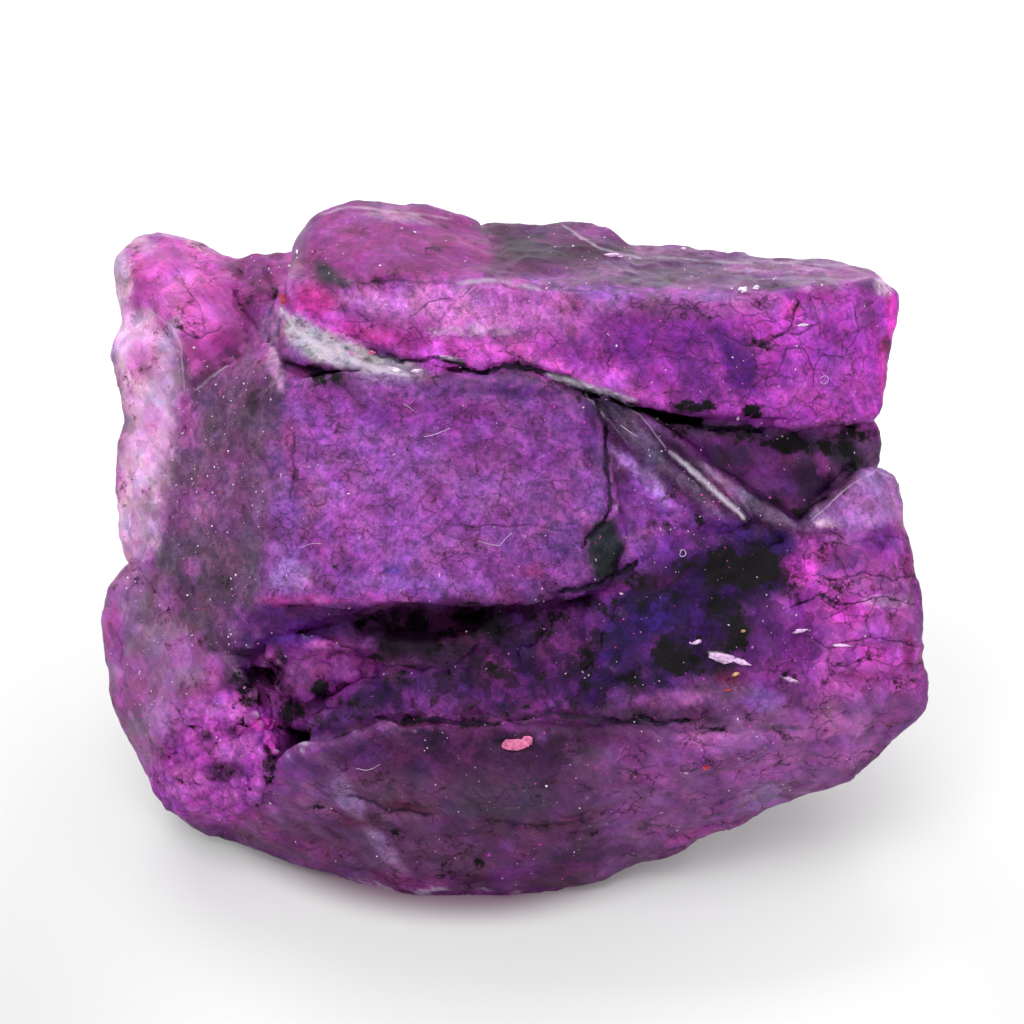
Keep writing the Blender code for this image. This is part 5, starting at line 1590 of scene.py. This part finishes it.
class Nodes(Tree):
    """A material's nodes."""

    def __init__(self, name):
        self.material = bpy.data.materials.new(name)
        self.material.use_nodes = True
        super().__init__(self.material.node_tree)
        self.tree.nodes.clear()
        self.place = self.add("ShaderNodeTexCoord").outputs["Object"]

    def value_of(self, name):
        return self.add("ShaderNodeAttribute", attribute_name=name).outputs["Fac"]

    def colour_of(self, name):
        return self.add("ShaderNodeAttribute", attribute_name=name).outputs["Color"]

    def ramp(self, value, low, high, to_low=0.0, to_high=1.0):
        """A smooth step of the value from low to high."""
        sockets = {"Value": value, "From Min": low, "From Max": high, "To Min": to_low, "To Max": to_high}
        return self.add("ShaderNodeMapRange", sockets, interpolation_type="SMOOTHSTEP").outputs[0]

    def noise(self, place, scale, detail, roughness):
        sockets = {"Vector": place, "Scale": scale, "Detail": detail, "Roughness": roughness}
        return self.add("ShaderNodeTexNoise", sockets)

    def mosaic(self, place, scale):
        """A pattern of cells, each with its own chances and a middle."""
        return self.add("ShaderNodeTexVoronoi", {"Vector": place, "Scale": scale}, feature="F1")

    def chances(self, mosaic):
        """Three chances from 0 to 1 for each cell of a mosaic."""
        return self.add("ShaderNodeSeparateColor", {0: mosaic.outputs["Color"]}).outputs

    def blend(self, share, first, second, kind="MIX"):
        sockets = {0: share, 6: first, 7: second}
        return self.add("ShaderNodeMix", sockets, data_type="RGBA", blend_type=kind).outputs[2]

    def grey(self, value):
        return self.add("ShaderNodeCombineColor", {0: value, 1: value, 2: value}).outputs[0]

    def shaded(self, colour, value, share=1.0):
        """The colour made brighter or darker."""
        return self.blend(share, colour, self.grey(value), "MULTIPLY")

    def pushed(self, place, noise, reach):
        """Places pushed about by noise, for lines that wander."""
        centred = self.vector("SUBTRACT", noise, (0.5, 0.5, 0.5))
        return self.vector("ADD", place, self.scaled(centred, reach))

    def stretched(self, place, scale):
        return self.add("ShaderNodeMapping", {"Vector": place, "Scale": scale}).outputs[0]

    def tinted(self, colour, noise, strengths):
        """The colour with its red, green and blue strengthened and weakened by coloured noise."""
        rest = tuple(1.0 - 0.5 * strength for strength in strengths)
        sockets = {0: noise, 1: strengths, 2: rest}
        tint = self.add("ShaderNodeVectorMath", sockets, operation="MULTIPLY_ADD").outputs[0]
        return self.blend(1.0, colour, tint, "MULTIPLY")

    def laid_along(self, place, turn, share):
        """Places squeezed along one way of the front, so that a pattern there draws out into streaks."""
        way = Matrix.Rotation(math.pi / 2 - FRONT_LEAN, 4, "X") @ Matrix.Rotation(turn, 4, "Z")
        sockets = {"Vector": place, "Rotation": way.to_euler(), "Scale": (1.0 / share, 1.0, 1.0)}
        return self.add("ShaderNodeMapping", sockets, vector_type="TEXTURE").outputs[0]

    def traced(self, name, rough_side, sure, gone):
        """1 in the middle of the lines traced under this name, 0 beyond their rough sides."""
        offset = self.work_out("ADD", self.value_of(name + "_offset"), rough_side)
        line = self.ramp(self.work_out("ABSOLUTE", offset), sure, gone, 1.0, 0.0)
        return self.work_out("MULTIPLY", line, self.value_of(name), clamp=True)

    def cell_lines(self, place, scale, wide):
        """1 on the borders of a pattern of cells, 0 inside them."""
        sockets = {"Vector": place, "Scale": scale}
        cells = self.add("ShaderNodeTexVoronoi", sockets, feature="DISTANCE_TO_EDGE")
        return self.ramp(cells.outputs["Distance"], 0.0, wide, 1.0, 0.0)

    def bumps(self, height, distance, strength):
        """The surface's direction, tilted by bumps of a height."""
        sockets = {"Height": height, "Distance": distance, "Strength": strength}
        return self.add("ShaderNodeBump", sockets).outputs[0]

    def finish(self, sockets):
        """Joins the sockets to a shader and the shader to the material."""
        shader = self.add("ShaderNodeBsdfPrincipled", sockets).outputs[0]
        self.add("ShaderNodeOutputMaterial", {"Surface": shader})
        return self.material


def plain(name):
    """A paint's colour as a socket takes it."""
    return (*linear_paint(name), 1.0)


def add_grain(nodes, colour, bend, grain, mosaic, streaks):
    """Fine grain, drifts of tint, a mosaic of shades and long streaks in the dye."""
    speckled = nodes.ramp(grain.outputs["Fac"], *GRAIN_SHADES)
    colour = nodes.shaded(colour, speckled, nodes.value_of("grit"))
    colour = nodes.tinted(colour, grain.outputs["Color"], GRAIN_TINT)
    colour = nodes.tinted(colour, bend.outputs["Color"], DRIFT_TINT)
    swing = nodes.work_out("MULTIPLY", nodes.value_of("ridges"), RIDGE_SWING)
    swing = nodes.work_out("ADD", swing, MOSAIC_SWING)
    shade = nodes.work_out("MULTIPLY", nodes.ramp(nodes.chances(mosaic)[2], 0.0, 1.0, -1.0, 1.0), swing)
    colour = nodes.shaded(colour, nodes.work_out("ADD", shade, 1.0))
    return nodes.shaded(colour, nodes.ramp(streaks, *STREAK_SHADES))


def add_crackle(nodes, colour, bent, blotches):
    """A web of fine dark lines, and the borders of larger cells."""
    crackle = nodes.cell_lines(nodes.stretched(bent, CRACKLE_STRETCH), CRACKLE_SCALE, CRACKLE_LINE)
    crackle = nodes.work_out("MULTIPLY", crackle, nodes.ramp(blotches, *CRACKLE_PATCHES))
    crackle = nodes.work_out("MULTIPLY", crackle, nodes.value_of("crackle"))
    cells = nodes.work_out("MULTIPLY", nodes.cell_lines(bent, CELL_SCALE, CELL_LINE), nodes.value_of("cells"))
    lines = nodes.work_out("MAXIMUM", crackle, cells)
    return nodes.blend(nodes.work_out("MULTIPLY", lines, LINE_DARKNESS), colour, plain("ink_violet"))


def add_painted_sheen(nodes, colour, streaks):
    """Painted sheen: pale light laid over the colour, drawn out along the streaks."""
    sheen = nodes.work_out("ADD", nodes.value_of("sheen"), nodes.ramp(streaks, *SHEEN_STREAKS))
    sheen = nodes.work_out("MULTIPLY", nodes.ramp(sheen, *SHEEN_EDGE), SHEEN_STRENGTH)
    return nodes.blend(sheen, colour, plain("reflection_white"))


def ink_and_shade_cover(nodes, blotches, grain):
    """Where ink and painted shade cover the stone, with a blotchy and grainy edge."""
    crushed = nodes.work_out("MULTIPLY", nodes.value_of("ridges"), RIDGE_INK)
    dark_cover = nodes.work_out("MAXIMUM", nodes.value_of("ink_and_shade"), crushed)
    dark_cover = nodes.work_out("ADD", dark_cover, nodes.ramp(blotches, *COVER_BLOTCHES))
    dark_cover = nodes.work_out("ADD", dark_cover, nodes.ramp(grain, *COVER_GRAIN))
    return nodes.ramp(dark_cover, *COVER_EDGE)


def add_lines(nodes, colour, grain, streaks):
    """The traced cracks and pale glints."""
    rough_side = nodes.ramp(grain, *ROUGH_SIDE)
    crack = nodes.traced("crack", rough_side, *CRACK_SIDES)
    colour = nodes.blend(crack, colour, plain("ink_violet"))
    glint = nodes.traced("glint", nodes.work_out("MULTIPLY", rough_side, GLINT_ROUGHNESS), *GLINT_SIDES)
    glint = nodes.work_out("MULTIPLY", glint, nodes.ramp(streaks, *GLINT_STREAKS))
    return nodes.blend(glint, colour, plain("reflection_white"))


def add_specks(nodes, colour, pattern, size, paints, clean):
    """Round specks of a few paints in some cells of a pattern, left out where ink and painted shade lie."""
    chance = nodes.chances(pattern)
    reach = nodes.work_out("MULTIPLY", chance[1], size)
    dot = nodes.work_out("LESS_THAN", pattern.outputs["Distance"], reach)
    for least, paint in paints:
        some = nodes.work_out("MULTIPLY", dot, nodes.work_out("GREATER_THAN", chance[0], least))
        colour = nodes.blend(nodes.work_out("MULTIPLY", some, clean), colour, plain(paint))
    return colour


def stone_material():
    """Dyed stone: grain, dark crackle, ink and painted shade in the hollows, a pale painted sheen, and specks
    over the dye.
    """
    nodes = Nodes("dyed_stone")
    bend = nodes.noise(nodes.place, *BEND_NOISE)
    blotches = bend.outputs["Fac"]
    bent = nodes.pushed(nodes.place, bend.outputs["Color"], PATTERN_BEND)
    grain_noise = nodes.noise(nodes.place, *GRAIN_NOISE)
    grain = grain_noise.outputs["Fac"]
    mosaic = nodes.mosaic(bent, MOSAIC_SCALE)
    streak_place = nodes.laid_along(nodes.place, STREAK_TURN, STREAK_SHARE)
    streaks = nodes.noise(streak_place, *STREAK_NOISE).outputs["Fac"]

    colour = add_grain(nodes, nodes.colour_of("dye"), bend, grain_noise, mosaic, streaks)
    colour = add_crackle(nodes, colour, bent, blotches)
    colour = add_painted_sheen(nodes, colour, streaks)
    # Black ink patches and painted shade in hollows, drawn with a ragged edge.
    inked_and_shaded = ink_and_shade_cover(nodes, blotches, grain)
    colour = nodes.blend(inked_and_shaded, colour, plain("ink_and_shade"))
    colour = add_lines(nodes, colour, grain, streaks)
    clean = nodes.work_out("SUBTRACT", 1.0, nodes.work_out("MULTIPLY", inked_and_shaded, SPECKS_COVERED_OUT))
    colour = add_specks(nodes, colour, mosaic, SPECK_REACH, SPECKS, clean)
    sparkle = nodes.mosaic(bent, SPARKLE_SCALE)
    colour = add_specks(nodes, colour, sparkle, SPARKLE_REACH, SPARKLES, clean)

    roughness = nodes.work_out("MULTIPLY", nodes.value_of("shine"), SHINE_ROUGHNESS)
    roughness = nodes.work_out("ADD", roughness, DULL_ROUGHNESS)
    roughness = nodes.work_out("ADD", roughness, nodes.ramp(grain, *ROUGH_GRAIN))
    sockets = {
        "Base Color": colour,
        "Roughness": roughness,
        "Normal": nodes.bumps(grain, *STONE_BUMP),
        "IOR": STONE_IOR,
        "Specular IOR Level": STONE_SPECULAR,
    }
    return nodes.finish(sockets)


def make_stone():
    """The stone's own piece, broken up, thinned out and dyed."""
    made = fine_copy(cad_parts["stone"])
    break_surface(made)
    thin_out(made)
    made.name = "broken_stone"
    dye_stone(made)
    made.data.materials.clear()
    made.data.materials.append(stone_material())
    return made


class DustTree(Tree):
    """Geometry Nodes that scatter crumbs of dust over a surface and give back only the crumbs."""

    def __init__(self, material):
        super().__init__(bpy.data.node_groups.new("scatter_dust", "GeometryNodeTree"))
        self.sockets = {}
        self.add_socket("Geometry", "NodeSocketGeometry")
        self.add_socket("Dust a square metre", "NodeSocketFloat")
        self.add_socket("Smallest", "NodeSocketFloat")
        self.add_socket("Largest", "NodeSocketFloat")
        self.tree.interface.new_socket("Geometry", in_out="OUTPUT", socket_type="NodeSocketGeometry")
        self.entry = self.tree.nodes.new("NodeGroupInput").outputs
        self.build(material)

    def add_socket(self, name, kind):
        made = self.tree.interface.new_socket(name, in_out="INPUT", socket_type=kind)
        self.sockets[name] = made.identifier

    def chance(self, low, high, seed, kind="FLOAT"):
        """A random number, or three, different at each crumb."""
        first, last, result = {"FLOAT": (2, 3, 1), "FLOAT_VECTOR": (0, 1, 0)}[kind]
        inputs = {first: low, last: high, "Seed": seed}
        return self.add("FunctionNodeRandomValue", inputs, data_type=kind).outputs[result]

    def crumb(self):
        """A jagged crumb, one unit in radius."""
        ball = self.add("GeometryNodeMeshIcoSphere", {"Radius": 1.0, "Subdivisions": 1})
        low, high = (-CRUMB_JAG,) * 3, (CRUMB_JAG,) * 3
        jag = self.chance(low, high, JAG_SEED, "FLOAT_VECTOR")
        return self.add("GeometryNodeSetPosition", {"Geometry": ball.outputs[0], "Offset": jag}).outputs[0]

    def crumb_scale(self):
        """Mostly small crumbs, a few large, each stretched its own way."""
        spread = self.work_out("POWER", self.chance(0.0, 1.0, SIZE_SEED), MOSTLY_SMALL)
        reach = self.work_out("SUBTRACT", self.entry["Largest"], self.entry["Smallest"])
        size = self.work_out("ADD", self.entry["Smallest"], self.work_out("MULTIPLY", reach, spread))
        stretch = self.chance(LEAST_CRUMB_STRETCH, MOST_CRUMB_STRETCH, STRETCH_SEED, "FLOAT_VECTOR")
        return self.scaled(stretch, size)

    def build(self, material):
        share = self.add("GeometryNodeInputNamedAttribute", {"Name": "dust"}, data_type="FLOAT")
        density = self.work_out("MULTIPLY", share.outputs[0], self.entry["Dust a square metre"])
        inputs = {"Mesh": self.entry[0], "Density": density, "Seed": PLACE_SEED}
        places = self.add("GeometryNodeDistributePointsOnFaces", inputs)
        inputs = {
            "Points": places.outputs["Points"],
            "Instance": self.crumb(),
            "Rotation": self.chance((0.0, 0.0, 0.0), (FULL_TURN,) * 3, TURN_SEED, "FLOAT_VECTOR"),
            "Scale": self.crumb_scale(),
        }
        laid = self.add("GeometryNodeInstanceOnPoints", inputs)
        tint = self.chance(0.0, 1.0, TINT_SEED)
        inputs = {"Geometry": laid.outputs[0], "Name": "tint", "Value": tint}
        tinted = self.add("GeometryNodeStoreNamedAttribute", inputs, data_type="FLOAT", domain="INSTANCE")
        solid = self.add("GeometryNodeRealizeInstances", {"Geometry": tinted.outputs[0]})
        finished = self.add("GeometryNodeSetMaterial", {"Geometry": solid.outputs[0], "Material": material})
        leave = self.tree.nodes.new("NodeGroupOutput")
        self.tree.links.new(finished.outputs[0], leave.inputs[0])


def dust_material():
    """Crumbs of white, pink and dark red dust."""
    nodes = Nodes("stone_dust")
    tint = nodes.value_of("tint")
    colour = plain("chalk")
    for least, paint in DUST_PAINTS:
        colour = nodes.blend(nodes.work_out("GREATER_THAN", tint, least), colour, plain(paint))
    grain = nodes.noise(nodes.place, *DUST_NOISE).outputs["Fac"]
    colour = nodes.shaded(colour, nodes.ramp(grain, *DUST_SHADES))
    return nodes.finish({"Base Color": colour, "Roughness": DUST_ROUGHNESS})


def make_dust(stone):
    """The dust on the stone, as one piece."""
    tree = DustTree(dust_material())
    made = bpy.data.objects.new("stone_dust", stone.data.copy())
    bpy.context.scene.collection.objects.link(made)
    scatter = made.modifiers.new("scatter", "NODES")
    scatter.node_group = tree.tree
    scatter[tree.sockets["Dust a square metre"]] = DUST_PER_SQUARE_METRE
    scatter[tree.sockets["Smallest"]] = SMALLEST_DUST * MM
    scatter[tree.sockets["Largest"]] = LARGEST_DUST * MM
    apply_modifiers(made)
    return made


def place_on_front(tree, across, up):
    """Where the sight line through a seen place meets the stone, and the surface's direction there."""
    axes = front_axes()
    eye = FRONT_MIDDLE + axes[2] * VIEW_DISTANCE
    aim = FRONT_MIDDLE + axes[0] * across + axes[1] * up
    found, normal, _, _ = tree.ray_cast(Vector(eye * MM), Vector(aim - eye).normalized())
    return found, normal


def rough_chip(tree, chance, across, up, length, width, thickness, turn):
    """A flat, broken chip lying on the stone: its points and faces."""
    found, normal = place_on_front(tree, across, up)
    angle = math.radians(turn)
    along = Vector(front_axes()[0]) * math.cos(angle) + Vector(front_axes()[1]) * math.sin(angle)
    along = (along - normal * along.dot(normal)).normalized()
    aside = normal.cross(along)
    points = []
    for height, share in CHIP_LAYERS:
        for corner in range(CHIP_CORNERS):
            angle = 2 * math.pi * corner / CHIP_CORNERS
            reach = share * chance.uniform(*CHIP_REACH)
            lift = height * thickness * chance.uniform(*CHIP_LIFT)
            step = along * (0.5 * length * reach * math.cos(angle))
            step += aside * (0.5 * width * reach * math.sin(angle))
            points.append(found + (step + normal * lift) * MM)
    faces = [tuple(reversed(range(CHIP_CORNERS)))]
    for layer in range(len(CHIP_LAYERS) - 1):
        for corner in range(CHIP_CORNERS):
            low, high = layer * CHIP_CORNERS, (layer + 1) * CHIP_CORNERS
            after = (corner + 1) % CHIP_CORNERS
            faces.append((low + corner, low + after, high + after, high + corner))
    top = (len(CHIP_LAYERS) - 1) * CHIP_CORNERS
    faces.append(tuple(range(top, top + CHIP_CORNERS)))
    return points, faces


def smooth_run(run):
    """The run with its corners cut, twice over."""
    for _ in range(2):
        cut = [run[0]]
        for (across_a, up_a), (across_b, up_b) in zip(run[:-1], run[1:]):
            for share in (0.25, 0.75):
                cut.append((across_a + share * (across_b - across_a), up_a + share * (up_b - up_a)))
        run = cut + [run[-1]]
    return run


def thin_fibre(tree, radius, run):
    """A fibre lying along seen places on the stone: its points and faces."""
    line = [place_on_front(tree, *place) for place in smooth_run(run)]
    points = []
    for number, (found, normal) in enumerate(line):
        before, after = line[max(number - 1, 0)][0], line[min(number + 1, len(line) - 1)][0]
        along = (after - before).normalized()
        aside = normal.cross(along).normalized()
        share = FIBRE_TIP if number in (0, len(line) - 1) else 1.0
        middle = found + normal * radius * MM
        for corner in range(FIBRE_CORNERS):
            angle = 2 * math.pi * corner / FIBRE_CORNERS
            way = aside * math.cos(angle) + normal * math.sin(angle)
            points.append(middle + way * radius * share * MM)
    faces = [tuple(range(FIBRE_CORNERS))]
    for ring in range(len(line) - 1):
        for corner in range(FIBRE_CORNERS):
            low, high = ring * FIBRE_CORNERS, (ring + 1) * FIBRE_CORNERS
            after = (corner + 1) % FIBRE_CORNERS
            faces.append((low + corner, high + corner, high + after, low + after))
    end = (len(line) - 1) * FIBRE_CORNERS
    faces.append(tuple(reversed(range(end, end + FIBRE_CORNERS))))
    return points, faces


def make_loose_chips(stone):
    """The chips and fibres as one piece, each with its own paint."""
    tree = BVHTree.FromPolygons(
        [vertex.co for vertex in stone.data.vertices],
        [face.vertices for face in stone.data.polygons],
    )
    chance = random.Random(CHIP_SEED)
    points, faces, paints = [], [], []
    shapes = [(paint, rough_chip(tree, chance, *row)) for paint, *row in LOOSE_CHIPS]
    shapes += [(paint, thin_fibre(tree, radius, run)) for paint, radius, run in FIBRES]
    for paint, (new_points, new_faces) in shapes:
        first = len(points)
        points += new_points
        faces += [tuple(first + corner for corner in face) for face in new_faces]
        paints += [linear_paint(paint) * CHIP_BRIGHTNESS] * len(new_points)
    mesh = bpy.data.meshes.new("loose_chips")
    mesh.from_pydata([tuple(point) for point in points], [], faces)
    body = bmesh.new()
    body.from_mesh(mesh)
    bmesh.ops.recalc_face_normals(body, faces=body.faces)
    body.to_mesh(mesh)
    body.free()
    write_colour(mesh, "dye", np.array(paints))
    mesh.materials.append(chip_material())
    made = bpy.data.objects.new("loose_chips", mesh)
    bpy.context.scene.collection.objects.link(made)
    return made


def chip_material():
    """Pale chips, with a cloudy grain."""
    nodes = Nodes("loose_chips")
    grain = nodes.noise(nodes.place, *CHIP_NOISE).outputs["Fac"]
    colour = nodes.shaded(nodes.colour_of("dye"), nodes.ramp(grain, *CHIP_SHADES))
    bumps = nodes.bumps(grain, *CHIP_BUMP)
    return nodes.finish({"Base Color": colour, "Roughness": CHIP_ROUGHNESS, "Normal": bumps})


def floor_painted_light(nodes, across, back):
    """Painted light and shade on the board: greyer towards the front and at the stone's sides, lighter before
    the stone on its right, whiter far off.
    """
    sides = nodes.work_out("ADD", nodes.ramp(across, *FLOOR_LEFT), nodes.ramp(across, *FLOOR_RIGHT))
    sides = nodes.work_out("MULTIPLY", sides, nodes.ramp(back, *FLOOR_BESIDE))
    before = nodes.ramp(across, *FLOOR_BEFORE_RIGHT)
    before = nodes.work_out("MULTIPLY", before, nodes.ramp(back, *FLOOR_BEFORE))
    far = nodes.ramp(nodes.length(nodes.place), *FLOOR_FAR_OFF)
    white = nodes.work_out("ADD", nodes.ramp(back, *FLOOR_DEPTH), far)
    return nodes.work_out("ADD", white, nodes.work_out("ADD", sides, before))


def foot_tint(nodes, across, back):
    """White, but a rosy shade where the stone stands, strongest under its front."""
    from_middle = nodes.vector("SUBTRACT", nodes.place, FOOT_MIDDLE)
    from_foot = nodes.length(nodes.vector("DIVIDE", from_middle, FOOT_REACH))
    shade = nodes.work_out("MULTIPLY", nodes.ramp(from_foot, *FOOT_FADE), nodes.ramp(back, *FOOT_FRONT))
    shade = nodes.work_out("MULTIPLY", shade, nodes.ramp(across, *FOOT_RIGHT))
    return nodes.blend(shade, WHITE, FOOT_SHADE)


def make_floor():
    """A matt pale board, with painted light and shade along it, a painted glow, and a rosy shade where the
    stone stands.
    """
    bpy.ops.mesh.primitive_plane_add(size=FLOOR_WIDTH, location=(0.0, 0.0, 0.0))
    floor = bpy.context.object
    floor.name = "floor"
    nodes = Nodes("matt_white_board")
    across, back, _ = nodes.add("ShaderNodeSeparateXYZ", {0: nodes.place}).outputs
    tint = foot_tint(nodes, across, back)
    sockets = {
        "Base Color": nodes.shaded(tint, floor_painted_light(nodes, across, back)),
        "Roughness": FLOOR_ROUGHNESS,
        # The board glows a little: a painted light that lifts its shadows.
        "Emission Color": tint,
        "Emission Strength": FLOOR_PAINTED_GLOW,
    }
    floor.data.materials.append(nodes.finish(sockets))


def make_lamp(name, place, width, power):
    """A square lamp that looks at the stone."""
    light = bpy.data.lights.new(name, "AREA")
    light.shape = "SQUARE"
    light.size = width
    light.energy = power
    lamp = bpy.data.objects.new(name, light)
    bpy.context.scene.collection.objects.link(lamp)
    lamp.location = place
    lamp.rotation_euler = (Vector(LAMPS_AIM) - Vector(place)).to_track_quat("-Z", "Y").to_euler()


def light_scene():
    """A soft white room with its lamps."""
    world = bpy.data.worlds.new("soft_room")
    bpy.context.scene.world = world
    world.use_nodes = True
    background = world.node_tree.nodes["Background"]
    background.inputs["Color"].default_value = WHITE
    background.inputs["Strength"].default_value = ROOM_LIGHT
    for lamp in LAMPS:
        make_lamp(*lamp)


def make_camera():
    """A long lens square before the leaning front."""
    outward = Vector(front_axes()[2])
    camera = bpy.data.objects.new("camera", bpy.data.cameras.new("camera"))
    bpy.context.scene.collection.objects.link(camera)
    camera.data.sensor_width = SENSOR_WIDTH
    camera.data.lens = SENSOR_WIDTH * VIEW_DISTANCE / (IMAGE_WIDTH / PIXELS_A_MILLIMETRE)
    camera.location = (Vector(FRONT_MIDDLE) + outward * VIEW_DISTANCE) * MM
    camera.rotation_euler = outward.to_track_quat("Z", "Y").to_euler()
    bpy.context.scene.camera = camera
    bpy.context.scene.view_settings.view_transform = "Standard"


def main():
    make_camera()
    light_scene()
    make_floor()
    stone = make_stone()
    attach(stone, "root")
    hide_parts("stone")
    for piece in (make_dust(stone), make_loose_chips(stone)):
        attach(piece, "root")


main()
